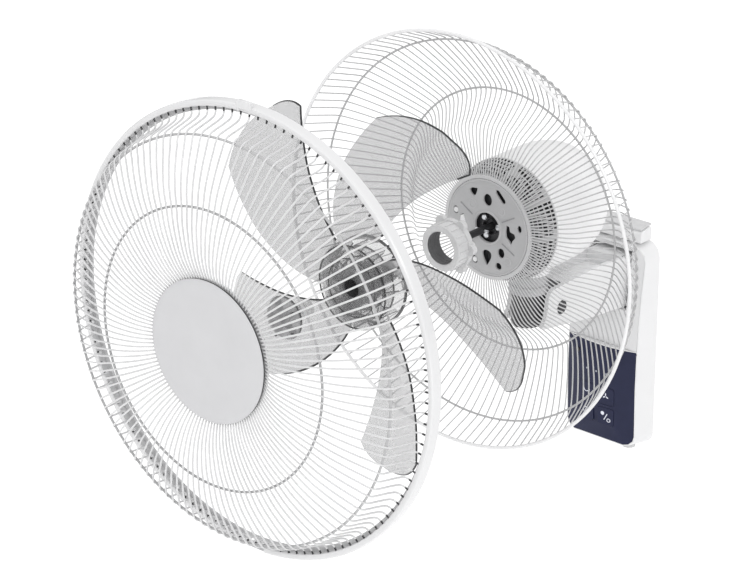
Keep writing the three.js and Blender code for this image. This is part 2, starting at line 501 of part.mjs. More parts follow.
// angles of the trailing (left) and leading (right) edges, and how far each stands forward of the middle plane
const trailAngle = (r) => { const u = (r - 130) / 70; return 165.95 - 18.14 * u + 2.28 * u * u; };
const leadAngle = (r) => { const u = (r - 130) / 70; return 129.2 - 11.68 * u + 1.88 * u * u; };
const trailY = (r) => smooth(r, [[44, -6.5], [80, -11.5], [130, -14.6], [170, -12.5], [203, -8.5]]);
const leadY = (r) => smooth(r, [[44, 14], [80, 14.5], [130, 15], [170, 18.5], [203, 23.5]]);
function blade(turn) {
  const NU = 4, NV = 4, half = 1.1;
  const positions = [];
  for (const side of [-1, 1]) for (let i = 0; i <= NV; i++) {
    const s = i / NV;                                       // 0 leading edge, 1 trailing edge
    const tip = WHEEL_R - 15 * Math.pow(Math.abs(2 * s - 1), 3.2) - (s < 0.5 ? 2 : 0);
    for (let j = 0; j <= NU; j++) {
      const r = 45 + (tip - 45) * (j / NU);
      const a = ((leadAngle(r) + (trailAngle(r) - leadAngle(r)) * s + turn) * Math.PI) / 180;
      const y = leadY(r) + (trailY(r) - leadY(r)) * s + 5 * 4 * s * (1 - s);
      positions.push(r * Math.cos(a), M + y + side * half, r * Math.sin(a));
    }
  }
  const layer = (NU + 1) * (NV + 1), at = (k, i, j) => k * layer + i * (NU + 1) + j;
  const tris = [];
  for (let i = 0; i < NV; i++) for (let j = 0; j < NU; j++) {
    tris.push(at(0, i, j), at(0, i + 1, j), at(0, i + 1, j + 1), at(0, i, j), at(0, i + 1, j + 1), at(0, i, j + 1));
    tris.push(at(1, i, j), at(1, i + 1, j + 1), at(1, i + 1, j), at(1, i, j), at(1, i, j + 1), at(1, i + 1, j + 1));
  }
  const edge = [];
  for (let i = 0; i < NV; i++) edge.push([i, 0]);
  for (let j = 0; j < NU; j++) edge.push([NV, j]);
  for (let i = NV; i > 0; i--) edge.push([i, NU]);
  for (let j = NU; j > 0; j--) edge.push([0, j]);
  for (let e = 0; e < edge.length; e++) {
    const [i0, j0] = edge[e], [i1, j1] = edge[(e + 1) % edge.length];
    tris.push(at(0, i0, j0), at(1, i0, j0), at(1, i1, j1), at(0, i0, j0), at(1, i1, j1), at(0, i1, j1));
  }
  const g = new THREE.BufferGeometry();
  g.setAttribute('position', new THREE.Float32BufferAttribute(positions, 3));
  g.setIndex(tris);
  return solid(g);
}
for (let k = 0; k < BLADES; k++) wheel = wheel.add(blade((-360 / BLADES) * k));
piece('blade_wheel', wheel, SMOKE);

// ---------------------------------------------------------------- spinner
const SP = SPINNER_REAR;
let spinner = lathe([[0, SP - 13], [9, SP - 12.4], [16, SP - 9.6], [20, SP - 5.4], [SPINNER_R, SP - 1], [SPINNER_R, SP], [9, SP], [9, SP + 32], [4.4, SP + 32], [4.4, SP + 14], [0, SP + 14]], 24);
for (let i = 0; i < 5; i++) { const a = (i / 5) * 2 * Math.PI; spinner = spinner.subtract(rod('y', 2, SP - 8, SP + 1, (SPINNER_R + 1) * Math.cos(a), (SPINNER_R + 1) * Math.sin(a), 8)); }
piece('spinner', spinner, SMOKE);

// ---------------------------------------------------------------- front guard
const F = FRONT_RIM;
const frontProfile = [[62, -362.4], [76, -362.9], [92, -368], [106, -368.4], [FRONT_RING1_R, -364.2], [FRONT_CORNER_R - 1, -343.4], [209.6, -335.4], [219.4, F - 10]];
let front = join(ring(63, -361.4, RING_HALF, 20, 3), ring(FRONT_RING1_R, -362, RING_HALF, 24, 3), ring(FRONT_CORNER_R - 1.6, -341.4, RING_HALF, 28, 3), ring(219.6, F - 10.1, 1.2, 28, 3));
for (let i = 0; i < SPOKES; i++) front = front.add(spoke(frontProfile, (i / SPOKES) * 2 * Math.PI, SPOKE_HALF));
piece('front_guard', front, WIRE_WHITE);
let rim = lathe([[217.4, F - 8], [219.4, F - 8.6], [228.4, F - 8.6], [230.4, F - 7.4], [FRONT_RIM_R, F - 5.6], [FRONT_RIM_R, F + 1], [227.2, F + 1], [227.2, F - 2], [218.2, F - 2], [217.4, F - 3], [217.4, F - 8]], 40);
// lugs of the latch at the bottom, and the notch for its hook
rim = rim.subtract(box(-17, 17, F - 20, F + 20, -240, -224.2));
piece('front_rim', rim, WHITE);

piece('badge_disc', lathe([[0, BADGE_FRONT], [66, BADGE_FRONT], [71, BADGE_FRONT + 0.5], [BADGE_R, BADGE_FRONT + 1.6], [BADGE_R, BADGE_FRONT + 3.3], [68, BADGE_FRONT + 3.3], [66, BADGE_FRONT + 2.6], [0, BADGE_FRONT + 2.6]], 36), GREY);
piece('badge_back', lathe([[3, BADGE_FRONT + 2.9], [58, BADGE_FRONT + 2.9], [58, BADGE_FRONT + 9.3], [71, BADGE_FRONT + 9.3], [71, BADGE_FRONT + 11.5], [56, BADGE_FRONT + 11.5], [56, BADGE_FRONT + 5], [3, BADGE_FRONT + 5], [3, BADGE_FRONT + 2.9]], 20), WHITE);
screw('badge_screw', 'y', -1, 0, 0, BADGE_FRONT + 7.3, 4.2, 4, 2.4);
piece('top_catch', cut(extrudeY(roundedRect(-9, 9, 224.2, 235.4, [2, 2, 1, 1], 2), F - 13.4, F - 8.9), box(-6, 6, F - 20, F, 220, 227)), WHITE);

// latch that hooks behind the rear rim when the guard is closed, hinged at the front rim's notch
const LATCH_Y = F - 4.4, LATCH_Z = -229.6;
piece('latch_pin', rod('x', 1.2, -16.7, 16.7, LATCH_Y, LATCH_Z, 10), STEEL);
const latch = (() => {
  const side = [[-3.6, -3.4], [3.2, -3.4], [11.8, -1.6], [11.8, 7.2], [9.1, 7.4], [8.7, 1.2], [3.2, 2.6], [0, 3], [-3.6, 2.6]];
  let s = extrudeX(side, -15, 15);
  s = s.subtract(box(-20, -5, 8.8, 30, -1.2, 10)).subtract(box(5, 20, 8.8, 30, -1.2, 10));
  s = s.subtract(rod('x', 1.5, -30, 30, 0, 0, 12));
  return s.rotate([-38, 0, 0]).translate([0, LATCH_Y, LATCH_Z]);
})();
piece('guard_latch', latch, GREY);

export default fan;
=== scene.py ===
# Wall mounted fan, shown with its front guard, spinner, blade wheel and ring nut drawn forward
# along the shaft. Sizes in the tables below are millimetres in the shaft's own coordinates:
# X across, Y along the shaft (0 at the rear guard's rim, negative forward), Z up from the shaft.
import json
import math

import bmesh
import bpy
from mathutils import Matrix, Vector

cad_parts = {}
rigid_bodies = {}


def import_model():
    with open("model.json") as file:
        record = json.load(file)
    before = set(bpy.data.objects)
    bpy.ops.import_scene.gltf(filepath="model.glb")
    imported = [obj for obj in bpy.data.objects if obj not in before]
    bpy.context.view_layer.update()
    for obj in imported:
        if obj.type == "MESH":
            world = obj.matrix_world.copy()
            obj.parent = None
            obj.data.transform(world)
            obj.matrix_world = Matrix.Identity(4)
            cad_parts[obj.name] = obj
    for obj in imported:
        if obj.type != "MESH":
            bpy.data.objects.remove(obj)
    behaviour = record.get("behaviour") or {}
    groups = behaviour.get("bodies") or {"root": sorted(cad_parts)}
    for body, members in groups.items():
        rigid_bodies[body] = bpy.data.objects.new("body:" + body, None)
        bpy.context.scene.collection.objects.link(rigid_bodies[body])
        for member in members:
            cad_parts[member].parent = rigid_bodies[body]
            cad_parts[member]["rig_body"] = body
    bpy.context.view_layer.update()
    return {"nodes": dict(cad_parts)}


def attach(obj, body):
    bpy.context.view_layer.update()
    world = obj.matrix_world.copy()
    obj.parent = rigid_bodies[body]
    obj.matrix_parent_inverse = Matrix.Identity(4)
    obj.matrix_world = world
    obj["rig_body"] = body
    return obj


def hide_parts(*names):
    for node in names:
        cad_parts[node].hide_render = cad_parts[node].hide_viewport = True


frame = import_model()
nodes = frame["nodes"]

OFFSET = Vector((0.0, -0.291, 0.196))
TAU = 2 * math.pi


def place(x, y, z):
    return Vector((x / 1000, y / 1000, z / 1000)) + OFFSET


# ------------------------------------------------------------------ mesh code
class Mesh:
    """Vertices and faces being gathered for one piece, each face with a material number."""

    def __init__(self):
        self.v, self.f, self.m = [], [], []

    def add(self, verts, faces, mat=0):
        base = len(self.v)
        self.v.extend(verts)
        self.f.extend([tuple(base + i for i in face) for face in faces])
        self.m.extend([mat] * len(faces))

    def make(self, name, materials, body, replaced=(), sharp=32, bevel=0.0, segments=2):
        data = bpy.data.meshes.new(name)
        data.from_pydata([place(*p) for p in self.v], [], self.f)
        data.validate()
        for i, poly in enumerate(data.polygons):
            poly.material_index = self.m[i]
        bm = bmesh.new()
        bm.from_mesh(data)
        bmesh.ops.recalc_face_normals(bm, faces=bm.faces)
        bm.to_mesh(data)
        bm.free()
        obj = bpy.data.objects.new(name, data)
        bpy.context.scene.collection.objects.link(obj)
        return dress(obj, materials, body, replaced, sharp, bevel, segments)


def dress(obj, materials, body, replaced=(), sharp=32, bevel=0.0, segments=2):
    data = obj.data
    chosen = [p.material_index for p in data.polygons]
    data.materials.clear()
    for m in materials if isinstance(materials, (list, tuple)) else [materials]:
        data.materials.append(m)
    for p, index in zip(data.polygons, chosen):
        p.material_index = index
    data.shade_smooth()
    if sharp:
        data.set_sharp_from_angle(angle=math.radians(sharp))
    if bevel:
        mod = obj.modifiers.new("edge", "BEVEL")
        mod.width = bevel / 1000
        mod.segments = segments
        mod.limit_method = "ANGLE"
        mod.angle_limit = math.radians(38)
        mod.miter_outer = "MITER_ARC"
        mod.harden_normals = True
        mod.use_clamp_overlap = True
    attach(obj, body)
    if replaced:
        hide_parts(*([replaced] if isinstance(replaced, str) else replaced))
    return obj


def curve_through(points, steps):
    """A smooth line through the points (Catmull-Rom), steps to each span."""
    pts = [Vector(p) for p in points]
    ends = [pts[0] * 2 - pts[1]] + pts + [pts[-1] * 2 - pts[-2]]
    out = []
    for i in range(1, len(ends) - 2):
        p0, p1, p2, p3 = ends[i - 1], ends[i], ends[i + 1], ends[i + 2]
        for k in range(steps):
            t = k / steps
            out.append(0.5 * ((2 * p1) + (p2 - p0) * t + (2 * p0 - 5 * p1 + 4 * p2 - p3) * t * t + (3 * p1 - p0 - 3 * p2 + p3) * t ** 3))
    out.append(pts[-1])
    return out


def radial_wire(mesh, profile, angle, radius, sides=6, mat=0):
    """A wire that follows (radius, depth) points in the half plane at this angle."""
    c, s = math.cos(angle), math.sin(angle)
    verts, faces = [], []
    n = len(profile)
    for i, (r, y) in enumerate(profile):
        a = profile[max(i - 1, 0)]
        b = profile[min(i + 1, n - 1)]
        t = Vector((b[0] - a[0], b[1] - a[1])).normalized()
        for k in range(sides):
            phi = TAU * (k + 0.5) / sides
            u, w = radius * math.cos(phi), radius * math.sin(phi)   # u in the half plane, w across it
            rr, yy = r - t.y * u, y + t.x * u
            verts.append((rr * c - w * s, yy, rr * s + w * c))
    for i in range(n - 1):
        for k in range(sides):
            k2 = (k + 1) % sides
            faces.append((i * sides + k, i * sides + k2, (i + 1) * sides + k2, (i + 1) * sides + k))
    faces.append(tuple(range(sides)))
    faces.append(tuple((n - 1) * sides + k for k in reversed(range(sides))))
    mesh.add(verts, faces, mat)


def ring(mesh, r, y, radius, count=192, sides=8, mat=0):
    verts, faces = [], []
    for i in range(count):
        a = TAU * i / count
        for k in range(sides):
            phi = TAU * k / sides
            rr = r + radius * math.cos(phi)
            verts.append((rr * math.cos(a), y + radius * math.sin(phi), rr * math.sin(a)))
    for i in range(count):
        j = (i + 1) % count
        for k in range(sides):
            k2 = (k + 1) % sides
            faces.append((i * sides + k, j * sides + k, j * sides + k2, i * sides + k2))
    mesh.add(verts, faces, mat)


def lathe(mesh, profile, count=128, mat=0, start=0.0):
    """A solid of revolution about the shaft from (radius, depth) points; the profile closes on itself or on the axis."""
    on_axis = profile[0][0] < 1e-6 and profile[-1][0] < 1e-6
    pts = profile if on_axis else (profile[:-1] if profile[0] == profile[-1] else profile)
    verts, index = [], []
    for r, y in pts:
        if r < 1e-6:
            index.append([len(verts)] * count)
            verts.append((0, y, 0))
        else:
            index.append([len(verts) + i for i in range(count)])
            verts.extend((r * math.cos(start + TAU * i / count), y, r * math.sin(start + TAU * i / count)) for i in range(count))
    faces = []
    last = len(pts) - 1 if on_axis else len(pts)
    for p in range(last):
        a, b = index[p], index[(p + 1) % len(pts)]
        for i in range(count):
            j = (i + 1) % count
            face = []
            for v in (a[i], a[j], b[j], b[i]):
                if v not in face:
                    face.append(v)
            if len(face) > 2:
                faces.append(tuple(face))
    mesh.add(verts, faces, mat)


def rounded(profile, radius, steps=3, keep=()):
    """Rounds the corners of an open profile of (r, y) points."""
    out = [profile[0]]
    for i in range(1, len(profile) - 1):
        p, a, b = Vector(profile[i]), Vector(profile[i - 1]), Vector(profile[i + 1])
        if i in keep:
            out.append(tuple(p))
            continue
        u, w = (a - p), (b - p)
        d = min(radius, u.length * 0.45, w.length * 0.45)
        s, e = p + u.normalized() * d, p + w.normalized() * d
        for k in range(steps + 1):
            t = k / steps
            out.append(tuple((1 - t) ** 2 * s + 2 * t * (1 - t) * p + t * t * e))
    out.append(profile[-1])
    return out


def prism(mesh, outline, axis, a, b, mat=0):
    """An outline of two coordinates run along an axis from a to b."""
    n = len(outline)
    at = {"y": lambda p, t: (p[0], t, p[1]), "x": lambda p, t: (t, p[0], p[1]), "z": lambda p, t: (p[0], p[1], t)}[axis]
    verts = [at(p, a) for p in outline] + [at(p, b) for p in outline]
    faces = [tuple(range(n)), tuple(reversed(range(n, 2 * n)))]
    faces += [(i, (i + 1) % n, n + (i + 1) % n, n + i) for i in range(n)]
    mesh.add(verts, faces, mat)


def block(mesh, x0, x1, y0, y1, z0, z1, mat=0, turn=0.0):
    c, s = math.cos(turn), math.sin(turn)
    verts = []
    for y in (y0, y1):
        for x, z in ((x0, z0), (x1, z0), (x1, z1), (x0, z1)):
            verts.append((x * c - z * s, y, x * s + z * c))
    mesh.add(verts, [(0, 1, 2, 3), (7, 6, 5, 4), (0, 4, 5, 1), (1, 5, 6, 2), (2, 6, 7, 3), (3, 7, 4, 0)], mat)


def circle(cx, cy, r, n=24, start=0.0):
    return [(cx + r * math.cos(start + TAU * i / n), cy + r * math.sin(start + TAU * i / n)) for i in range(n)]


def refine(name, material, bevel=0.5, segments=2, sharp=32, body=None):
    """The CAD piece again, with its flat faces merged and its edges rounded."""
    source = nodes[name]
    data = source.data.copy()
    data.name = name + "_fine"
    bm = bmesh.new()
    bm.from_mesh(data)
    bmesh.ops.remove_doubles(bm, verts=bm.verts, dist=2e-5)
    bmesh.ops.dissolve_limit(bm, angle_limit=math.radians(0.7), verts=bm.verts, edges=bm.edges)
    for f in bm.faces:
        f.material_index = 0
    bm.to_mesh(data)
    bm.free()
    if data.has_custom_normals:
        for attribute in [a.name for a in data.attributes if a.name == "custom_normal"]:
            data.attributes.remove(data.attributes[attribute])
    obj = bpy.data.objects.new(name + "_fine", data)
    bpy.context.scene.collection.objects.link(obj)
    return dress(obj, material, body or source["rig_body"], name, sharp, bevel, segments)


def cut(obj, cutter):
    """Cuts the gathered mesh out of the piece, for good."""
    data = bpy.data.meshes.new("cutter")
    data.from_pydata([place(*p) for p in cutter.v], [], cutter.f)
    bm = bmesh.new()
    bm.from_mesh(data)
    bmesh.ops.recalc_face_normals(bm, faces=bm.faces)
    bm.to_mesh(data)
    bm.free()
    tool = bpy.data.objects.new("cutter", data)
    bpy.context.scene.collection.objects.link(tool)
    mod = obj.modifiers.new("cut", "BOOLEAN")
    mod.operation = "DIFFERENCE"
    mod.solver = "EXACT"
    mod.object = tool
    others = [m for m in obj.modifiers if m != mod]
    for m in others:
        m.show_viewport = False
    bpy.context.view_layer.update()
    made = bpy.data.meshes.new_from_object(obj.evaluated_get(bpy.context.evaluated_depsgraph_get()))
    obj.modifiers.remove(mod)
    for m in others:
        m.show_viewport = True
    old = obj.data
    obj.data = made
    bpy.data.meshes.remove(old)
    bpy.data.objects.remove(tool)
    bpy.data.meshes.remove(data)
    made.set_sharp_from_angle(angle=math.radians(32))
    return obj


# ------------------------------------------------------------------ materials
def finish(name, rgb, rough=0.45, vary=0.04, scale=60.0, grain=0.0, grain_scale=900.0, metal=0.0, coat=0.0, coat_rough=0.1,
           specular=0.5, rough_vary=0.08, alpha=1.0, stretch=(1, 1, 1), edge=0.0, ior=1.45, subsurface=0.0, transmission=0.0):
    """Moulded, painted or cast stock: broad tone changes, a fine grain in height, and gloss that varies a little."""
    mat = bpy.data.materials.new(name)
    mat.use_nodes = True
    tree = mat.node_tree
    n, link = tree.nodes, tree.links
    bsdf = n["Principled BSDF"]
    coord = n.new("ShaderNodeTexCoord")
    mapping = n.new("ShaderNodeMapping")
    mapping.inputs["Scale"].default_value = stretch
    link.new(coord.outputs["Object"], mapping.inputs["Vector"])
    broad = n.new("ShaderNodeTexNoise")
    broad.inputs["Scale"].default_value = scale
    broad.inputs["Detail"].default_value = 5.0
    broad.inputs["Roughness"].default_value = 0.6
    link.new(mapping.outputs["Vector"], broad.inputs["Vector"])
    ramp = n.new("ShaderNodeValToRGB")
    ramp.color_ramp.elements[0].position = 0.3
    ramp.color_ramp.elements[1].position = 0.7
    ramp.color_ramp.elements[0].color = (*[max(0.0, c * (1 - vary)) for c in rgb], 1)
    ramp.color_ramp.elements[1].color = (*[min(1.0, c * (1 + vary)) for c in rgb], 1)
    link.new(broad.outputs["Fac"], ramp.inputs["Fac"])
    colour = ramp.outputs["Color"]
    if edge:
        # convex corners, found by pointiness, take a tone lighter or darker than the faces by the edge amount
        geo = n.new("ShaderNodeNewGeometry")
        corner_mask = n.new("ShaderNodeMapRange")
        corner_mask.inputs["From Min"].default_value = 0.5
        corner_mask.inputs["From Max"].default_value = 0.62
        corner_mask.inputs["To Min"].default_value = 0.0
        corner_mask.inputs["To Max"].default_value = 1.0
        link.new(geo.outputs["Pointiness"], corner_mask.inputs["Value"])
        mix = n.new("ShaderNodeMix")
        mix.data_type = "RGBA"
        mix.inputs[7].default_value = (*[min(1.0, max(0.0, c * (1 + edge))) for c in rgb], 1)
        link.new(corner_mask.outputs["Result"], mix.inputs[0])
        link.new(colour, mix.inputs[6])
        colour = mix.outputs[2]
    link.new(colour, bsdf.inputs["Base Color"])
    gloss = n.new("ShaderNodeMapRange")
    gloss.inputs["To Min"].default_value = max(0.02, rough - rough_vary)
    gloss.inputs["To Max"].default_value = min(1.0, rough + rough_vary)
    fine = n.new("ShaderNodeTexNoise")
    fine.inputs["Scale"].default_value = grain_scale
    fine.inputs["Detail"].default_value = 3.0
    link.new(mapping.outputs["Vector"], fine.inputs["Vector"])
    link.new(fine.outputs["Fac"], gloss.inputs["Value"])
    link.new(gloss.outputs["Result"], bsdf.inputs["Roughness"])
    if grain:
        bump = n.new("ShaderNodeBump")
        bump.inputs["Strength"].default_value = grain
        bump.inputs["Distance"].default_value = 0.0003
        link.new(fine.outputs["Fac"], bump.inputs["Height"])
        link.new(bump.outputs["Normal"], bsdf.inputs["Normal"])
    bsdf.inputs["Metallic"].default_value = metal
    bsdf.inputs["Coat Weight"].default_value = coat
    bsdf.inputs["Coat Roughness"].default_value = coat_rough
    bsdf.inputs["Specular IOR Level"].default_value = specular
    bsdf.inputs["IOR"].default_value = ior
    bsdf.inputs["Alpha"].default_value = alpha
    bsdf.inputs["Subsurface Weight"].default_value = subsurface
    bsdf.inputs["Transmission Weight"].default_value = transmission
    return mat


def spun(name, rgb, rough, spacing=1400.0, depth=0.25, vary=0.05, metal=0.0):
    """Turned or brushed about the shaft: very fine rings in tone and height."""
    mat = finish(name, rgb, rough=rough, vary=vary, scale=25, grain=0.0, metal=metal)
    n, link = mat.node_tree.nodes, mat.node_tree.links
    bsdf = n["Principled BSDF"]
    coord = n.new("ShaderNodeTexCoord")
    shift = n.new("ShaderNodeVectorMath")
    shift.operation = "SUBTRACT"
    shift.inputs[1].default_value = OFFSET
    link.new(coord.outputs["Object"], shift.inputs[0])
    flat = n.new("ShaderNodeVectorMath")
    flat.operation = "MULTIPLY"
    flat.inputs[1].default_value = (1, 0, 1)
    link.new(shift.outputs["Vector"], flat.inputs[0])
    length = n.new("ShaderNodeVectorMath")
    length.operation = "LENGTH"
    link.new(flat.outputs["Vector"], length.inputs[0])
    lines = n.new("ShaderNodeTexNoise")
    lines.noise_dimensions = "1D"
    lines.inputs["Scale"].default_value = spacing
    lines.inputs["Detail"].default_value = 4.0
    link.new(length.outputs["Value"], lines.inputs["W"])
    bump = n.new("ShaderNodeBump")
    bump.inputs["Strength"].default_value = depth
    bump.inputs["Distance"].default_value = 0.0002
    link.new(lines.outputs["Fac"], bump.inputs["Height"])
    link.new(bump.outputs["Normal"], bsdf.inputs["Normal"])
    return mat


wire_white = finish("wire_enamel", (0.60, 0.60, 0.605), rough=0.32, vary=0.05, scale=45, grain=0.10, grain_scale=700, coat=0.35, coat_rough=0.12)
# the rear wires are the same white enamel as the front ones, coloured darker as painted shade
rear_wire_painted_shade = finish("rear_wire_enamel_painted_shade", (0.50, 0.50, 0.505), rough=0.36, vary=0.06, scale=45, grain=0.10, grain_scale=700, coat=0.25, coat_rough=0.15)
# the ring wires are the same enamel as the radial wires, coloured darker as painted shade
ring_wire_painted_shade = finish("ring_wire_enamel_painted_shade", (0.42, 0.42, 0.425), rough=0.35, vary=0.05, scale=40, grain=0.08, grain_scale=700, coat=0.2, coat_rough=0.15)
ring_white = finish("ring_wire_enamel", (0.74, 0.74, 0.745), rough=0.3, vary=0.03, scale=40, grain=0.08, grain_scale=700, coat=0.4, coat_rough=0.1)
gloss_white = finish("gloss_white_moulding", (0.65, 0.65, 0.655), rough=0.2, vary=0.02, scale=18, grain=0.05, grain_scale=500, coat=0.5, coat_rough=0.06, edge=0.05)
box_white = finish("box_white_moulding", (0.72, 0.72, 0.725), rough=0.38, vary=0.02, scale=22, grain=0.18, grain_scale=1300, coat=0.12, coat_rough=0.2, edge=0.05)
# grey for the box's forward face, painted shade on the same white plastic, and for the cover seam
painted_shade_fascia_and_seam_grey = finish("fascia_painted_shade_grey", (0.62, 0.62, 0.625), rough=0.42, vary=0.03, scale=22, grain=0.2, grain_scale=1300, edge=0.06)
pale = finish("pale_moulding", (0.70, 0.70, 0.705), rough=0.42, vary=0.03, scale=26, grain=0.2, grain_scale=1200, edge=0.07)
cover_pale = finish("cover_pale_moulding", (0.77, 0.77, 0.775), rough=0.4, vary=0.025, scale=20, grain=0.2, grain_scale=1200, edge=0.05)
shell_grey = finish("vented_shell_grey", (0.40, 0.40, 0.405), rough=0.46, vary=0.05, scale=30, grain=0.22, grain_scale=1200, edge=0.08)
latch_grey = finish("latch_grey_moulding", (0.50, 0.50, 0.51), rough=0.45, vary=0.05, scale=40, grain=0.2, grain_scale=1200, edge=0.1)
frosted = finish("frosted_white_nylon", (0.64, 0.64, 0.645), rough=0.28, vary=0.05, scale=60, grain=0.1, grain_scale=900, coat=0.3, coat_rough=0.12, alpha=0.86)
painted = finish("painted_plate", (0.39, 0.39, 0.395), rough=0.5, vary=0.04, scale=50, grain=0.3, grain_scale=1500, edge=0.12)
badge = spun("brushed_badge", (0.53, 0.53, 0.54), rough=0.38, spacing=900, depth=0.12, vary=0.025)
navy = finish("navy_gloss_panel", (0.015, 0.018, 0.048), rough=0.34, vary=0.10, scale=30, grain=0.06, grain_scale=1400, coat=0.06, coat_rough=0.15, specular=0.2)
navy_key = finish("navy_key_cap", (0.016, 0.019, 0.050), rough=0.4, vary=0.10, scale=50, grain=0.12, grain_scale=1600, coat=0.05, coat_rough=0.2, specular=0.2)
ink = finish("pale_print", (0.72, 0.74, 0.82), rough=0.5, vary=0.04, scale=300)
smoke = finish("smoke_blade", (0.37, 0.37, 0.375), rough=0.3, vary=0.02, scale=8, grain=0.02, grain_scale=400, coat=0.1, coat_rough=0.1, alpha=0.44)
# near-black for the blades' painted edge shade
blade_edge_painted_shade = finish("smoke_blade_painted_edge_shade", (0.015, 0.015, 0.017), rough=0.4, vary=0.3, scale=80)
smoke_hub = finish("smoke_hub", (0.26, 0.26, 0.265), rough=0.12, vary=0.10, scale=40, grain=0.05, grain_scale=500, coat=0.7, coat_rough=0.04, alpha=0.28)
smoke_rib = finish("smoke_rib", (0.045, 0.045, 0.048), rough=0.18, vary=0.3, scale=60, coat=0.6, coat_rough=0.05, alpha=0.72)
# near-black smoke for dark vanes and ribs, and for painted edge shade lines on the clear hub and spinner
smoke_dark_and_painted_edges = finish("smoke_dark_and_painted_edges", (0.022, 0.022, 0.024), rough=0.18, vary=0.25, scale=60, coat=0.5, coat_rough=0.06, alpha=0.85)
spinner_clear = finish("clear_spinner", (0.30, 0.30, 0.305), rough=0.14, vary=0.06, scale=60, coat=0.6, coat_rough=0.05, alpha=0.55)
black_rubber = finish("black_rubber", (0.022, 0.022, 0.023), rough=0.75, vary=0.2, scale=120, grain=0.4, grain_scale=1500)
# grey for the white rim's inner wall and flange: painted shade
rim_painted_shade = finish("rim_channel_painted_shade", (0.52, 0.52, 0.525), rough=0.6, vary=0.1, scale=60, grain=0.2)
# near-black for painted shadow at the wire ends and the badge's edge
painted_shadow_black = finish("painted_shadow_black", (0.045, 0.045, 0.047), rough=0.7, vary=0.2, specular=0.2)
bore_painted_shade = finish("nut_bore_painted_shade", (0.11, 0.11, 0.113), rough=0.5, vary=0.2, scale=60)
# near-black painted shade for the tilt knuckle under the motor
neck_painted_shade = finish("neck_painted_shade_black", (0.03, 0.03, 0.032), rough=0.5, vary=0.15, scale=60, grain=0.25, grain_scale=1200, edge=0.3)
pale_rubber = finish("pale_rubber", (0.56, 0.56, 0.565), rough=0.7, vary=0.06, scale=120, grain=0.3, grain_scale=1500)
black_moulding_and_painted_shade = finish("black_moulding_and_painted_shade", (0.018, 0.018, 0.020), rough=0.42, vary=0.15, scale=70, grain=0.25, grain_scale=1300)
dark_window = finish("dark_window", (0.012, 0.006, 0.008), rough=0.08, vary=0.2, scale=60, coat=0.8, coat_rough=0.03)
charcoal = finish("charcoal_steel", (0.040, 0.040, 0.043), rough=0.38, vary=0.2, scale=140, grain=0.2, grain_scale=900, metal=0.6, stretch=(1, 0.12, 1))
zinc = finish("zinc_plate", (0.62, 0.63, 0.65), rough=0.32, vary=0.14, scale=160, grain=0.18, grain_scale=800, metal=1.0, edge=0.15)
cast = finish("cast_aluminium", (0.52, 0.53, 0.54), rough=0.55, vary=0.12, scale=90, grain=0.6, grain_scale=1100, metal=0.85, edge=0.2)
copper = finish("enamelled_copper", (0.46, 0.16, 0.055), rough=0.35, vary=0.3, scale=260, grain=0.6, grain_scale=1600, metal=0.9, stretch=(1, 4, 1))
bronze = finish("sintered_bronze", (0.36, 0.22, 0.09), rough=0.5, vary=0.15, scale=200, grain=0.5, grain_scale=2000, metal=0.9)
iron = spun("laminated_iron", (0.16, 0.16, 0.165), rough=0.5, spacing=900, depth=0.4, vary=0.2, metal=0.8)
board = finish("green_board", (0.02, 0.11, 0.045), rough=0.4, vary=0.2, scale=150, grain=0.3, grain_scale=900, coat=0.3)

SLOT_FINISH = {
    "white_plastic": box_white, "gloss_white": gloss_white, "pale_plastic": pale, "grey_plastic": painted_shade_fascia_and_seam_grey, "navy_plastic": navy_key,
    "dark_window": dark_window, "circuit_board": board, "zinc_steel": zinc, "dark_steel": charcoal, "black_rubber": black_rubber,
    "black_plastic": black_moulding_and_painted_shade, "cast_aluminium": cast, "core_iron": iron, "copper_wire": copper, "bearing_bronze": bronze,
    "painted_plate": painted, "coated_wire": wire_white, "smoke_plastic": smoke,
}
NODE_FINISH = {
    "receiver_window": dark_window, "control_board": board, "board_screw_left": zinc, "board_screw_right": zinc, "wall_plate": zinc,
    "hanger_pad": pale_rubber, "cable_gland": pale_rubber, "arm_screw_1": zinc, "arm_screw_2": zinc, "arm_screw_3": zinc, "arm_screw_4": zinc,
    "tilt_bolt": charcoal, "tilt_nut": zinc, "power_button": navy_key, "speed_button": navy_key, "swing_button": navy_key, "timer_button": navy_key,
    "tilt_knuckle": pale, "swing_pin": zinc, "tilt_washer_right": black_rubber, "tilt_washer_left": black_rubber, "motor_frame": cast,
    "cover_screw": zinc, "stator_core": iron, "winding_front": copper, "winding_rear": copper, "front_bearing": charcoal, "rear_bearing": bronze,
    "start_capacitor": black_moulding_and_painted_shade, "gearbox": box_white, "rotor_core": iron, "drive_pin": zinc, "worm": bronze, "shaft": charcoal,
    "swing_gear": bronze, "swing_link": zinc, "badge_back": gloss_white, "badge_screw": zinc, "latch_pin": zinc,
}
for name, obj in nodes.items():
    obj.data.materials.clear()
    obj.data.materials.append(NODE_FINISH.get(name, pale))

# ------------------------------------------------------------------ camera and light
cam_data = bpy.data.cameras.new("camera")
cam_data.lens = 152.64
cam_data.sensor_width = 36.0
cam_data.sensor_fit = "HORIZONTAL"
cam_data.clip_start = 0.05
cam_data.clip_end = 60.0
camera = bpy.data.objects.new("camera", cam_data)
camera.location = (1.86379, -2.56991, 1.38475)
camera.rotation_euler = (math.radians(90 - 22.919), 0.0, math.radians(41.063))
bpy.context.scene.collection.objects.link(camera)
bpy.context.scene.camera = camera

scene = bpy.context.scene
scene.view_settings.view_transform = "Standard"
scene.view_settings.look = "None"
scene.view_settings.exposure = 0.0
scene.view_settings.gamma = 1.0

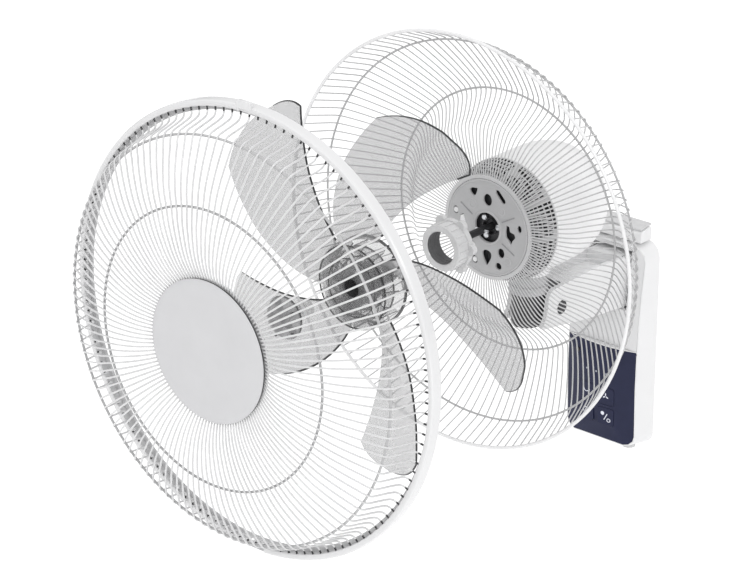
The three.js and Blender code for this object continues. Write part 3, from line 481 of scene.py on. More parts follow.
world = bpy.data.worlds.new("studio")
scene.world = world
world.use_nodes = True
wn, wl = world.node_tree.nodes, world.node_tree.links
sky = wn["Background"]
sky.inputs["Strength"].default_value = 1.0
wcoord = wn.new("ShaderNodeTexCoord")
wsep = wn.new("ShaderNodeSeparateXYZ")
wl.new(wcoord.outputs["Generated"], wsep.inputs["Vector"])
wramp = wn.new("ShaderNodeValToRGB")
wramp.color_ramp.elements[0].position = 0.0
wramp.color_ramp.elements[0].color = (0.50, 0.50, 0.505, 1)
wramp.color_ramp.elements[1].position = 1.0
wramp.color_ramp.elements[1].color = (1.36, 1.36, 1.36, 1)
wl.new(wsep.outputs["Z"], wramp.inputs["Fac"])
wl.new(wramp.outputs["Color"], sky.inputs["Color"])


def lamp(name, where, target, size, power):
    data = bpy.data.lights.new(name, "AREA")
    data.shape = "DISK"
    data.size = size
    data.energy = power
    obj = bpy.data.objects.new(name, data)
    obj.location = where
    obj.rotation_euler = (Vector(target) - Vector(where)).to_track_quat("-Z", "Y").to_euler()
    bpy.context.scene.collection.objects.link(obj)
    return obj


lamp("key_light", (2.5, -2.3, 2.0), (0, -0.35, 0.15), 1.1, 34)
lamp("fill_light", (-1.9, -2.8, 1.6), (0, -0.4, 0.15), 1.8, 9)

floor_mesh = bpy.data.meshes.new("floor")
grid = bmesh.new()
bmesh.ops.create_grid(grid, x_segments=24, y_segments=24, size=14.0)
grid.to_mesh(floor_mesh)
grid.free()
floor = bpy.data.objects.new("floor", floor_mesh)
floor.location = (0, 0, -0.30)
bpy.context.scene.collection.objects.link(floor)
floor_finish = finish("studio_floor", (0.93, 0.93, 0.93), rough=0.9, vary=0.006, scale=1.5, specular=0.1)
floor_bsdf = floor_finish.node_tree.nodes["Principled BSDF"]
floor_bsdf.inputs["Emission Color"].default_value = (1, 1, 1, 1)
floor_bsdf.inputs["Emission Strength"].default_value = 0.16
floor_mesh.materials.append(floor_finish)

# ------------------------------------------------------------------ guards
WIRES = 128
F = -298.0
FRONT_WIRE = [(60, -362), (70, -362.6), (80, -365.6), (92, -368.2), (106, -368.9), (125, -367.6), (142, -364.3), (160, -360.8), (180, -354), (196, -347),
              (204.5, -343), (208.6, -339), (210.2, -334), (212.6, -323), (215.2, -313.6), (218.0, -310.1), (221.8, -309.0), (225.6, -308.7)]
REAR_WIRE = [(51.5, 54.8), (60, 55), (75, 56.5), (95, 59), (108, 63), (118, 72), (128, 80), (136, 85), (143, 86), (150, 83), (170, 68.5), (190, 52), (204, 39),
             (209, 32), (214, 20.5), (219, 8.5), (222.0, 1.2)]

front = Mesh()
line = [tuple(p) for p in curve_through(FRONT_WIRE, 3)]
for i in range(WIRES):
    radial_wire(front, line, TAU * (i + 0.5) / WIRES, 0.95)
# the rings take the darker painted-shade enamel
ring(front, 141.8, -361.9, 1.3, mat=1)
ring(front, 205.6, -340.2, 1.3, mat=1)
ring(front, 64, -360.6, 1.45, mat=1)
front.make("front_guard_wires", [wire_white, ring_wire_painted_shade], "front_guard_body", "front_guard", sharp=60)

rear = Mesh()
line = [tuple(p) for p in curve_through(REAR_WIRE, 3)]
for i in range(WIRES):
    radial_wire(rear, line, TAU * (i + 0.5) / WIRES, 0.72)
ring(rear, 142.4, 83.3, 1.1, mat=1)
ring(rear, 205.2, 34.9, 1.1, mat=1)
ring(rear, 222.9, 0.0, 1.9, sides=12, mat=2)
lathe(rear, [(53.2, 53.9), (57, 53.9), (57, 56.1), (53.2, 56.1), (53.2, 53.9)], 128)
rear.make("rear_guard_wires", [rear_wire_painted_shade, ring_wire_painted_shade, ring_white], "head", "rear_guard", sharp=60)

rim = Mesh()
rim_profile = [(224.5, -309.4), (225.2, -310.3), (227.4, -310.8), (229.6, -310.4), (230.7, -309.2), (231, -307.4), (231, -298.9), (230.4, -298), (227.6, -297.2),
               (226.6, -297.6), (225.9, -299.9), (220.2, -300.2), (219.4, -300.7), (219.4, -301.5), (220.2, -302.1), (224.5, -302.3), (224.5, -309.4)]
lathe(rim, rim_profile, 288)
# the rim's inner wall and rear flange take the grey painted shade
turns = 288
for i in range(len(rim.m)):
    if i // turns >= 10:
        rim.m[i] = 1
rim_obj = rim.make("front_rim_moulding", [gloss_white, rim_painted_shade], "front_guard_body", "front_rim", sharp=28)
notch = Mesh()
block(notch, -17, 17, F - 20, F + 20, -240, -224.2)
cut(rim_obj, notch)

# near-black sleeves over the wire ends where they enter the rim: painted shadow of the rim
wire_end_shadow = Mesh()
for i in range(WIRES):
    radial_wire(wire_end_shadow, [(221.0, -309.15), (222.6, -308.9), (223.9, -308.8), (225.2, -308.7)], TAU * (i + 0.5) / WIRES, 1.0, sides=8)
wire_end_shadow.make("wire_end_painted_shadow", painted_shadow_black, "front_guard_body", (), sharp=50)

badge_mesh = Mesh()
B = -368.0
badge_profile = [(0, B + 0.0), (40, B + 0.0), (64, B + 0.05), (68.5, B + 0.2), (70.6, B + 0.6), (71.8, B + 1.2), (72.4, B + 2.0), (72.4, B + 3.3), (68, B + 3.3), (66, B + 2.6), (0, B + 2.6)]
lathe(badge_mesh, badge_profile, 192)
# the badge's outer side and back edge take the near-black painted shadow
for i in range(len(badge_mesh.m)):
    if i // 192 in (6, 7):
        badge_mesh.m[i] = 1
badge_mesh.make("badge_disc_plain", [badge, painted_shadow_black], "front_guard_body", "badge_disc", sharp=25)
refine("top_catch", gloss_white, 0.5)
refine("guard_latch", latch_grey, 0.45)

# ------------------------------------------------------------------ blade wheel
M = -148.0


def between(t, stops):
    for (a, va), (b, vb) in zip(stops, stops[1:]):
        if t <= b:
            return va + (vb - va) * max(0.0, (t - a) / (b - a))
    return stops[-1][1]


def smooth_between(t, stops):
    return (between(t - 8, stops) + between(t - 4, stops) + between(t, stops) + between(t + 4, stops) + between(t + 8, stops)) / 5


def trail_angle(r):
    u = (r - 130) / 70
    return 165.95 - 18.14 * u + 2.28 * u * u


def lead_angle(r):
    u = (r - 130) / 70
    return 129.2 - 11.68 * u + 1.88 * u * u


TRAIL_Y = [(44, -6.5), (80, -11.5), (130, -14.6), (170, -12.5), (203, -8.5)]
LEAD_Y = [(44, 14), (80, 14.5), (130, 15), (170, 18.5), (203, 23.5)]


def blade_point(s, t, turn):
    tip = 203 - 15 * abs(2 * s - 1) ** 3.2 - (2 if s < 0.5 else 0) * min(1.0, (0.5 - s) * 8 if s < 0.5 else 0)
    r = 45 + (tip - 45) * t
    a = math.radians(lead_angle(r) + (trail_angle(r) - lead_angle(r)) * s + turn)
    y = smooth_between(r, LEAD_Y) + (smooth_between(r, TRAIL_Y) - smooth_between(r, LEAD_Y)) * s + 20 * s * (1 - s)
    return r * math.cos(a), M + y, r * math.sin(a)


wheel = Mesh()
NS, NT = 28, 40
for k in range(5):
    turn = -72.0 * k
    grid_points = [[Vector(blade_point(i / NS, j / NT, turn)) for j in range(NT + 1)] for i in range(NS + 1)]
    verts = []
    for side in (-1, 1):
        for i in range(NS + 1):
            for j in range(NT + 1):
                du = grid_points[min(i + 1, NS)][j] - grid_points[max(i - 1, 0)][j]
                dv = grid_points[i][min(j + 1, NT)] - grid_points[i][max(j - 1, 0)]
                normal = du.cross(dv).normalized()
                rim_close = min(i, NS - i) / 2.0
                half = 0.95 if rim_close >= 1 else 0.75
                p = grid_points[i][j] + normal * side * half
                verts.append(tuple(p))
    layer = (NS + 1) * (NT + 1)

    def at(side, i, j):
        return side * layer + i * (NT + 1) + j

    faces, mats = [], []
    for i in range(NS):
        for j in range(NT):
            faces.append((at(0, i, j), at(0, i + 1, j), at(0, i + 1, j + 1), at(0, i, j + 1)))
            mats.append(0)
            faces.append((at(1, i, j), at(1, i, j + 1), at(1, i + 1, j + 1), at(1, i + 1, j)))
            mats.append(0)
    border = [(i, 0) for i in range(NS)] + [(NS, j) for j in range(NT)] + [(i, NT) for i in range(NS, 0, -1)] + [(0, j) for j in range(NT, 0, -1)]
    for e, (i0, j0) in enumerate(border):
        i1, j1 = border[(e + 1) % len(border)]
        faces.append((at(0, i0, j0), at(0, i1, j1), at(1, i1, j1), at(1, i0, j0)))
        mats.append(0)
    base = len(wheel.v)
    wheel.v.extend(verts)
    wheel.f.extend([tuple(base + q for q in face) for face in faces])
    wheel.m.extend(mats)
# near-black lines along some blade edges: painted shade for how the clear edges darken, on the leading side only
PAINTED_SHADE_EDGES = {
    0: [[(0.0, 0.06 + 0.94 * j / 40) for j in range(41)] + [(0.35 * i / 10, 1.0) for i in range(1, 11)]],
    1: [[(0.0, 0.90 + 0.10 * j / 5) for j in range(5)] + [(i / 24, 1.0) for i in range(25)]],
    2: [[(1.0, 0.03 + 0.97 * j / 40) for j in range(41)] + [(1.0 - i / 24, 1.0) for i in range(1, 25)]],
    3: [[(1.0, 0.06 + 0.94 * j / 40) for j in range(41)] + [(1.0 - 0.4 * i / 10, 1.0) for i in range(1, 11)]],
    4: [[(0.0, 0.06 + 0.94 * j / 40) for j in range(41)], [(1.0, 0.05 + 0.72 * j / 30) for j in range(31)]],
}
for k, lines in PAINTED_SHADE_EDGES.items():
    for line in lines:
        pts = [Vector(blade_point(u, v, -72.0 * k)) for u, v in line]
        verts, faces = [], []
        sides = 6
        for i, p in enumerate(pts):
            t = (pts[min(i + 1, len(pts) - 1)] - pts[max(i - 1, 0)]).normalized()
            a = t.cross(Vector((0, 1, 0))).normalized()
            b = t.cross(a).normalized()
            taper = min(1.0, (len(pts) - 1 - i) / 12 + 0.35)
            for q in range(sides):
                phi = TAU * q / sides
                verts.append(tuple(p + (a * math.cos(phi) + b * math.sin(phi)) * 1.05 * taper))
        for i in range(len(pts) - 1):
            for q in range(sides):
                q2 = (q + 1) % sides
                faces.append((i * sides + q, i * sides + q2, (i + 1) * sides + q2, (i + 1) * sides + q))
        faces.append(tuple(reversed(range(sides))))
        faces.append(tuple((len(pts) - 1) * sides + q for q in range(sides)))
        wheel.add(verts, faces, 1)
wheel.make("wheel_blades", [smoke, blade_edge_painted_shade], "wheel", "blade_wheel", sharp=50)

hub = Mesh()
hub_profile = rounded([(12, M - 12), (38, M - 12), (44, M - 10.5), (47, M - 7), (47, M + 18)], 2.5, 4)
lathe(hub, hub_profile + [(44.6, M + 18), (44.6, M - 6.4), (42.6, M - 8), (12, M - 8.6), (12, M - 12)], 128)
for k in range(12):
    a = TAU * k / 12
    # ribs between the boss and the skirt, deeper at the skirt
    c, s = math.cos(a), math.sin(a)
    verts = []
    for w in (-0.45, 0.45):
        for r, y in ((12.3, M - 8.4), (44.4, M - 8.4), (44.4, M + 13), (40, M + 13), (34, M + 2), (12.3, M + 2)):
            verts.append((r * c - w * s, y, r * s + w * c))
    hub.add(verts, [(5, 4, 3, 2, 1, 0), (6, 7, 8, 9, 10, 11)] + [(i, (i + 1) % 6, 6 + (i + 1) % 6, 6 + i) for i in range(6)], 0)
    # dark lines along each rib's edge and where it meets the skirt: painted edge shade
    edge_line = [(40.2, M + 13), (38.6, M + 10), (34, M + 2.0), (24, M + 2.0), (13, M + 2.0)]
    radial_wire(hub, edge_line, a, 0.7, sides=6, mat=2)
    radial_wire(hub, [(44.0, M - 7.6), (44.2, M + 2), (44.2, M + 12.6)], a, 0.45, sides=6, mat=2)
    # curved vanes between the inner rings
    for r0, spread, depth in ((31.5, 0.42, -6.5), (23.2, 0.5, -4.0)):
        arc = []
        for q in range(9):
            phi = a + 0.06 + spread * q / 8
            rr = r0 + 2.6 * math.sin(math.pi * q / 8)
            arc.append(Vector((rr * math.cos(phi), M + depth + 5.0 * q / 8, rr * math.sin(phi))))
        verts, faces = [], []
        for q, p in enumerate(arc):
            t = (arc[min(q + 1, 8)] - arc[max(q - 1, 0)]).normalized()
            n1 = t.cross(Vector((0, 1, 0))).normalized()
            n2 = t.cross(n1).normalized()
            for w in range(6):
                verts.append(tuple(p + (n1 * math.cos(TAU * w / 6) + n2 * math.sin(TAU * w / 6)) * 0.9))
        for q in range(8):
            for w in range(6):
                w2 = (w + 1) % 6
                faces.append((q * 6 + w, q * 6 + w2, (q + 1) * 6 + w2, (q + 1) * 6 + w))
        faces.append(tuple(reversed(range(6))))
        faces.append(tuple(8 * 6 + w for w in range(6)))
        hub.add(verts, faces, 2 if r0 > 30 else 1)
lathe(hub, [(27, M - 8.4), (27.8, M - 8.4), (27.8, M + 6), (27, M + 6), (27, M - 8.4)], 96, 0)
# thin dark rings along the clear hub's ring and skirt edges: painted edge shade
lathe(hub, [(26.7, M + 5.2), (28.1, M + 5.2), (28.1, M + 6.4), (26.7, M + 6.4), (26.7, M + 5.2)], 96, 2)
lathe(hub, [(36.7, M + 8.2), (38.1, M + 8.2), (38.1, M + 9.4), (36.7, M + 9.4), (36.7, M + 8.2)], 96, 2)
lathe(hub, [(43.0, M - 12.0), (44.2, M - 11.2), (43.6, M - 10.2), (42.4, M - 11.0), (43.0, M - 12.0)], 128, 2)
lathe(hub, [(30.0, M - 12.3), (31.0, M - 12.3), (31.0, M - 11.6), (30.0, M - 11.6), (30.0, M - 12.3)], 128, 2)
lathe(hub, [(37, M - 8.4), (37.7, M - 8.4), (37.7, M + 9), (37, M + 9), (37, M - 8.4)], 96, 0)
lathe(hub, [(19, M - 8.4), (20.2, M - 8.4), (20.2, M + 14), (19, M + 14), (19, M - 8.4)], 72, 1)
# dark ring on the skirt's rear edge: painted edge shade
lathe(hub, [(44.5, M + 16.6), (47.1, M + 16.6), (47.1, M + 18.1), (44.5, M + 18.1), (44.5, M + 16.6)], 128, 2)
hub.make("wheel_hub", [smoke_hub, smoke_rib, smoke_dark_and_painted_edges], "wheel", (), sharp=35)
boss = Mesh()
lathe(boss, [(9.4, M - 12.2), (12, M - 12.2), (12, M + 20), (10.4, M + 22), (10.4, M + 46), (4.3, M + 46), (4.3, M + 20), (9.4, M + 20), (9.4, M - 12.2)], 64)
boss_obj = boss.make("wheel_boss", [smoke_rib], "wheel", (), sharp=35)
slot_cut = Mesh()
block(slot_cut, -12, 12, M + 40.6, M + 50, -2, 2)
cut(boss_obj, slot_cut)

SP = -257.0
spin = Mesh()
dome = [(0, SP - 13)] + [tuple(p) for p in curve_through([(5, SP - 12.85), (9, SP - 12.4), (16, SP - 9.6), (20, SP - 5.4), (22, SP - 1)], 3)] + [(22, SP)]
lathe(spin, dome + [(20.6, SP), (20.4, SP - 1.2), (18.6, SP - 4.6), (15, SP - 8.2), (9, SP - 10.8), (0, SP - 11.2)], 96, 0)
# dark ring on the spinner's rim: painted edge shade
lathe(spin, [(20.5, SP - 1.4), (22.05, SP - 1.4), (22.05, SP + 0.05), (20.5, SP + 0.05), (20.5, SP - 1.4)], 96, 1)
for k in range(5):
    a = TAU * (k + 0.5) / 5
    block(spin, 8.6, 20.2, SP - 8.2, SP - 0.3, -0.6, 0.6, 1, a)
lathe(spin, [(4.4, SP - 11.2), (9, SP - 11.0), (9, SP + 32), (4.4, SP + 32), (4.4, SP - 11.2)], 64, 2)
spin.make("spinner_cap", [spinner_clear, smoke_dark_and_painted_edges, smoke_hub], "spinner_body", "spinner", sharp=35)

# ------------------------------------------------------------------ ring nut
nut = Mesh()
nut_profile = [(17.6, -21.9), (18.3, -22.8), (22.8, -22.8), (24.2, -22.3), (25, -21), (25, -8.2), (27, -8), (27, -2), (18.2, -2), (17.6, -2.6), (17.6, -21.9)]
lathe(nut, nut_profile, 96)
# the bore's inner face takes the dark painted shade
for i in range(len(nut.m)):
    if i // 96 == 9:
        nut.m[i] = 1
for k in range(18):
    a = TAU * k / 18
    block(nut, 24.6, 25.9, -21, -8, -1.1, 1.1, 0, a)
for k in range(6):
    a = TAU * k / 6
    cx, cz = 26 * math.cos(a), 26 * math.sin(a)
    outline = []
    for q in range(15):
        phi = a - math.pi / 2 + math.pi * q / 14
        outline.append((cx + 6 * math.cos(phi), cz + 6 * math.sin(phi)))
    for q in (0.42, -0.42):
        phi = a + q
        outline.append((23.5 * math.cos(phi), 23.5 * math.sin(phi)))
    prism(nut, outline, "y", -8, -2)
for k in range(3):
    # thread turns in the bore, coloured with the bore's painted shade
    lathe(nut, [(17.7, -20 + 4.5 * k), (17.0, -19.3 + 4.5 * k), (17.7, -18.6 + 4.5 * k), (17.7, -20 + 4.5 * k)], 64, 1)
nut.make("ring_nut", [frosted, bore_painted_shade], "nut", "guard_nut", sharp=35, bevel=0.35)

# ------------------------------------------------------------------ guard plate with its cut-outs
PLATE_FRONT, PLATE_BACK = 53.6, 55.8


def ellipse(cx, cz, a, b, tilt=0.0, n=24):
    t = math.radians(tilt)
    return [(cx + a * math.cos(q) * math.cos(t) - b * math.sin(q) * math.sin(t), cz + a * math.cos(q) * math.sin(t) + b * math.sin(q) * math.cos(t))
            for q in [TAU * i / n for i in range(n)]]


def drop(cx, cz, width, length, towards, n=28):
    """A drop shaped hole: round at one end, pointed towards an angle."""
    t = math.radians(towards)
    out = []
    for i in range(n):
        q = TAU * i / n
        x = length * 0.5 * math.cos(q)
        w = width * 0.5 * math.sin(q) * (1 - 0.62 * math.cos(q)) * 0.98
        out.append((cx + x * math.cos(t) - w * math.sin(t), cz + x * math.sin(t) + w * math.cos(t)))
    return out


def bar(cx, cz, length, width, angle, n=6):
    t = math.radians(angle)
    out = []
    for side in (1, -1):
        for i in range(n + 1):
            q = -math.pi / 2 + math.pi * i / n
            x, w = side * (length / 2 - width / 2 + width / 2 * math.cos(q)), side * width / 2 * math.sin(q)
            out.append((cx + x * math.cos(t) - w * math.sin(t), cz + x * math.sin(t) + w * math.cos(t)))
    return out


holes = [
    ("hole", circle(0, 0, 16.4, 64)),
    ("through", drop(-18.2, 36.6, 8.2, 11.4, 40)),
    ("through", ellipse(-0.3, 30.6, 5.8, 6.8)),
    ("through", bar(16.6, 38.0, 17.0, 6.2, -46)),
    ("through", ellipse(42.0, 8.7, 3.0, 4.2, 0)),
    ("through", drop(-0.2, -33.6, 11.2, 17.5, -90)),
    ("through", ellipse(18.5, -24.0, 4.6, 5.6, 0)),
    ("through", ellipse(15.4, -39.4, 4.2, 4.0, 0)),
    ("through", ellipse(-42.4, 9.4, 3.4, 4.6, 0)),
    ("through", [(-36.6, 5.5), (-32.0, 8.2), (-29.6, 3.0), (-27.2, -9.0), (-30.0, -10.4), (-33.4, -4.6), (-37.6, -2.8)]),
    ("through", ellipse(-19.6, -24.0, 4.0, 5.0, 20)),
    ("through", ellipse(-16.3, -39.6, 4.0, 4.6, 20)),
    ("through", [(24.6, 9.0), (28.8, 8.4), (30.0, 3.0), (35.8, 1.6), (37.2, -2.2), (33.6, -6.6), (31.4, -12.0), (28.6, -8.4), (24.4, -4.8), (23.6, 1.6)]),
]
curve = bpy.data.curves.new("plate_outline", "CURVE")
curve.dimensions = "2D"
curve.fill_mode = "BOTH"
curve.extrude = (PLATE_BACK - PLATE_FRONT) / 2000 - 0.00025
curve.bevel_depth = 0.00025
curve.bevel_resolution = 2
for outline in [circle(0, 0, 52.5 - 0.25, 128)] + [h[1] for h in holes]:
    spline = curve.splines.new("POLY")
    spline.points.add(len(outline) - 1)
    for p, (x, z) in zip(spline.points, outline):
        p.co = (x / 1000, z / 1000, 0, 1)
    spline.use_cyclic_u = True
temp = bpy.data.objects.new("plate_outline", curve)
bpy.context.scene.collection.objects.link(temp)
bpy.context.view_layer.update()
plate_data = bpy.data.meshes.new_from_object(temp.evaluated_get(bpy.context.evaluated_depsgraph_get()))
bpy.data.objects.remove(temp)
bpy.data.curves.remove(curve)
plate_data.transform(Matrix.Translation(place(0, (PLATE_FRONT + PLATE_BACK) / 2, 0)) @ Matrix.Rotation(math.radians(90), 4, "X"))
bm = bmesh.new()
bm.from_mesh(plate_data)
bmesh.ops.remove_doubles(bm, verts=bm.verts, dist=1e-6)
bmesh.ops.recalc_face_normals(bm, faces=bm.faces)
bm.to_mesh(plate_data)
bm.free()
plate_data.name = "guard_plate_pressing"
plate_obj = bpy.data.objects.new("guard_plate_pressing", plate_data)
bpy.context.scene.collection.objects.link(plate_obj)
dress(plate_obj, painted, "head", "guard_plate", sharp=32)

# pressed dimples, ribs and the raised collar on the plate
pressing = Mesh()
for cx, cz, r in ((-19.8, 22.0, 4.6), (18.2, 21.8, 4.3), (27.0, -31.0, 4.2)):
    lathe_profile = [(r + 0.5, 0.05), (r + 0.2, -0.45), (r - 0.5, -0.45), (r - 0.9, -0.05), (r - 1.2, 0.05)]
    verts, faces = [], []
    n = 32
    for rr, d in lathe_profile:
        verts.extend((cx + rr * math.cos(TAU * i / n), PLATE_FRONT + d, cz + rr * math.sin(TAU * i / n)) for i in range(n))
    for p in range(len(lathe_profile)):
        q = (p + 1) % len(lathe_profile)
        faces += [(p * n + i, p * n + (i + 1) % n, q * n + (i + 1) % n, q * n + i) for i in range(n)]
    pressing.add(verts, faces)
for x0, z0, x1, z1 in ((-36.0, 19.8, -20.2, 9.9), (19.0, 10.7, 35.8, 20.0), (19.5, -12.6, 36.3, -22.0)):
    angle = math.degrees(math.atan2(z1 - z0, x1 - x0))
    length = math.hypot(x1 - x0, z1 - z0)
    prism(pressing, bar((x0 + x1) / 2, (z0 + z1) / 2, length, 1.3, angle), "y", PLATE_FRONT - 0.5, PLATE_FRONT + 0.1, 1)
lathe(pressing, [(16.5, PLATE_FRONT + 0.1), (16.5, PLATE_FRONT - 0.7), (17.3, PLATE_FRONT - 0.9), (18.3, PLATE_FRONT - 0.5), (18.7, PLATE_FRONT + 0.1), (16.5, PLATE_FRONT + 0.1)], 96)
lathe(pressing, [(50.4, PLATE_FRONT + 0.1), (51.0, PLATE_FRONT - 0.5), (52.2, PLATE_FRONT - 0.5), (52.5, PLATE_FRONT + 0.1), (50.4, PLATE_FRONT + 0.1)], 128)
groove_grey = finish("rib_grey", (0.27, 0.27, 0.275), rough=0.5, vary=0.05)
pressing.make("guard_plate_ribs", [painted, groove_grey], "head", (), sharp=32)

# ------------------------------------------------------------------ motor housing
SHELL_ROWS = [((52.6, 59.4), (55.4, 61.3)), ((56.4, 62.1), (58.9, 64.6)), ((59.5, 65.4), (61.5, 68.2)), ((62.1, 69.3), (63.4, 74.2)), ((63.8, 76.2), (64.7, 81.6)), ((64.9, 83.0), (65.6, 86.2))]
SLOTS = 88


def slot_open(row, k):
    deg = (360 * (k + 0.5) / SLOTS) % 360
    sector = int((deg + 6) // 40)
    inside = (deg + 6) % 40
    if inside < 4.5:
        return False
    if row in (0, 5) and inside < 9:
        return False
    if row == 3 and (sector % 3 == 1) and inside > 30:
        return False
    return True


shell = Mesh()
sections = [(8.4, 58.6), (30, 58.6), (51.5, 58.6)]
for a, b in SHELL_ROWS:
    sections += [a, b]
sections += [(66, 88)]
per = SLOTS * 5
rows_of_slots = {}
for i, (a, b) in enumerate(SHELL_ROWS):
    rows_of_slots[3 + 2 * i] = i
inner = []
for i, (r, y) in enumerate(sections):
    a = sections[max(i - 1, 0)]
    b = sections[min(i + 1, len(sections) - 1)]
    t = Vector((b[0] - a[0], b[1] - a[1])).normalized()
    inner.append((r - t.y * 2.0 if i else 8.4, y + t.x * 2.0))
inner[-1] = (63.6, 88)
verts = []
for layer in (sections, inner):
    for r, y in layer:
        verts.extend((r * math.cos(TAU * i / per), y, r * math.sin(TAU * i / per)) for i in range(per))
count = len(sections)


def vid(layer, row, i):
    return (layer * count + row) * per + i % per


faces = []
slot_walls = []
for row in range(count - 1):
    for i in range(per):
        slot_row = rows_of_slots.get(row)
        opened = slot_row is not None and i % 5 in (1, 2, 3) and slot_open(slot_row, i // 5)
        if not opened:
            faces.append((vid(0, row, i), vid(0, row, i + 1), vid(0, row + 1, i + 1), vid(0, row + 1, i)))
            faces.append((vid(1, row, i), vid(1, row + 1, i), vid(1, row + 1, i + 1), vid(1, row, i + 1)))
        else:
            dark_from = len(faces)
            faces.append((vid(0, row, i), vid(0, row, i + 1), vid(1, row, i + 1), vid(1, row, i)))
            faces.append((vid(0, row + 1, i), vid(1, row + 1, i), vid(1, row + 1, i + 1), vid(0, row + 1, i + 1)))
            if i % 5 == 1:
                faces.append((vid(0, row, i), vid(1, row, i), vid(1, row + 1, i), vid(0, row + 1, i)))
            if i % 5 == 3:
                faces.append((vid(0, row, i + 1), vid(0, row + 1, i + 1), vid(1, row + 1, i + 1), vid(1, row, i + 1)))
            slot_walls.extend(range(dark_from, len(faces)))
for i in range(per):
    faces.append((vid(0, count - 1, i), vid(0, count - 1, i + 1), vid(1, count - 1, i + 1), vid(1, count - 1, i)))
    faces.append((vid(0, 0, i), vid(1, 0, i), vid(1, 0, i + 1), vid(0, 0, i + 1)))
shell.add(verts, faces)
# slot walls, the shell's face behind the plate and an inner lining are coloured black as painted shade
for i, face in enumerate(shell.f):
    ys = [shell.v[q][1] for q in face]
    rs = [math.hypot(shell.v[q][0], shell.v[q][2]) for q in face]
    if max(rs) < 51.6:
        shell.m[i] = 1
for i in slot_walls:
    shell.m[i] = 1
painted_shade_lining = [(r - 0.15, y + 0.15) for r, y in inner[3:]]
lathe(shell, painted_shade_lining + [(r - 0.5, y + 0.1) for r, y in reversed(painted_shade_lining)] + [painted_shade_lining[0]], 128, 1)
shell.make("motor_front_vented", [shell_grey, black_moulding_and_painted_shade], "head", "motor_front_shell", sharp=40)

# bosses and screws of the motor's front, seen through the plate's holes
bosses = Mesh()


def post(mesh, cx, cz, profile, n=24, mat=0):
    """A small turned shape about a line beside the shaft; the profile starts and ends on its own axis."""
    verts, index = [], []
    for r, y in profile:
        if r < 1e-6:
            index.append([len(verts)] * n)
            verts.append((cx, y, cz))
        else:
            index.append([len(verts) + i for i in range(n)])
            verts.extend((cx + r * math.cos(TAU * i / n), y, cz + r * math.sin(TAU * i / n)) for i in range(n))
    faces = []
    for a, b in zip(index, index[1:]):
        for i in range(n):
            j = (i + 1) % n
            face = []
            for v in (a[i], a[j], b[j], b[i]):
                if v not in face:
                    face.append(v)
            if len(face) > 2:
                faces.append(tuple(face))
    mesh.add(verts, faces, mat)


for cx, cz, r in ((-42.4, 9.4, 5.2), (-19.6, -24.0, 5.6), (-16.3, -39.6, 5.2)):
    post(bosses, cx, cz, [(0, 53.3), (r - 2.8, 53.4), (r - 2.2, 54.0), (r - 2.2, 58.6), (0, 58.6)])
prism(bosses, [(-35.9, 4.8), (-32.2, 7.0), (-30.3, 2.6), (-28.0, -8.4), (-29.9, -9.2), (-33.0, -3.8), (-36.6, -2.2)], "y", 53.5, 58.6)
for cx, cz, r in ((-19.8, 22.0, 3.6), (18.2, 21.8, 3.4), (27.0, -31.0, 3.3)):
    post(bosses, cx, cz, [(0, 56.4), (r, 56.4), (r, 58.6), (0, 58.6)], mat=1)
for k in range(3):
    a = math.radians(128 + 120 * k)
    cx, cz = 11.4 * math.cos(a), 11.4 * math.sin(a)
    post(bosses, cx, cz, [(0, 56.0), (2.4, 56.1), (3.1, 56.7), (3.1, 58.6), (0, 58.6)], mat=2)
    post(bosses, cx, cz, [(0, 57.2), (4.4, 57.2), (4.4, 58.6), (0, 58.6)], mat=1)
lathe(bosses, [(8.6, 57.0), (9.4, 57.0), (9.4, 58.7), (8.6, 58.7), (8.6, 57.0)], 48, 1)
for k in range(10):
    a = TAU * (k + 0.3) / 10
    block(bosses, 18.5, 49.5, 57.6, 58.7, -0.9, 0.9, 1, a)
bosses.make("motor_front_bosses", [gloss_white, charcoal, zinc], "head", (), sharp=35)

# black liner seen through the vents, just clear of the windings: painted shade for the housing's dark inside
vent_shade = Mesh()
lathe(vent_shade, [(53.6, 63.6), (57.6, 67.0), (60.4, 73), (62.6, 86.5), (61.9, 86.5), (59.7, 73.3), (57.0, 67.6), (53.3, 64.4), (53.6, 63.6)], 96)
vent_shade.make("vent_painted_shade_liner", black_moulding_and_painted_shade, "head", (), sharp=40)

cover = Mesh()
outer = [tuple(p) for p in curve_through([(66, 88.3), (66, 100), (66, 125), (65.8, 150), (64.8, 162), (62, 174), (57.4, 184.5), (50, 192.5), (41, 198.6), (30, 203), (15, 205.4), (4, 206)], 4)]
inside = [tuple(p) for p in curve_through([(4, 203.6), (15, 203.0), (29, 200.4), (39.6, 196.2), (48, 190), (55, 182.4), (59.6, 173), (62.4, 161.4), (63.4, 150), (63.6, 125), (63.6, 100), (63.6, 88.3)], 4)]
lathe(cover, [(0, 206)] + outer[::-1] + inside[::-1] + [(0, 203.6)], 128)
cover_obj = cover.make("rear_cover_moulding", [cover_pale], "head", "rear_cover", sharp=30)
tools = Mesh()
prism(tools, [(p[0], p[1] + 125) for p in circle(0, 0, 20.5, 64)], "z", -80, -30)
cut(cover_obj, tools)
for k in range(-3, 4):
    tools = Mesh()
    half = 2.1
    outline = [(k * 8 + p[0], 29 + p[1]) for p in [(-half, -4), (half, -4), (half, 4), (-half, 4)]]
    x, z = k * 8, 29
    prism(tools, bar(x, z, 13, 4.2, 90), "y", 168, 215)
    cut(cover_obj, tools)
tools = Mesh()
prism(tools, circle(0, 0, 4.2, 24), "y", 199, 215)
cut(cover_obj, tools)
seam = Mesh()
lathe(seam, [(65.2, 86.9), (66.35, 86.9), (66.35, 88.7), (65.2, 88.7), (65.2, 86.9)], 128)
seam.make("cover_seam", painted_shade_fascia_and_seam_grey, "head", (), sharp=30)
collar = Mesh()
verts, faces = [], []
n = 48
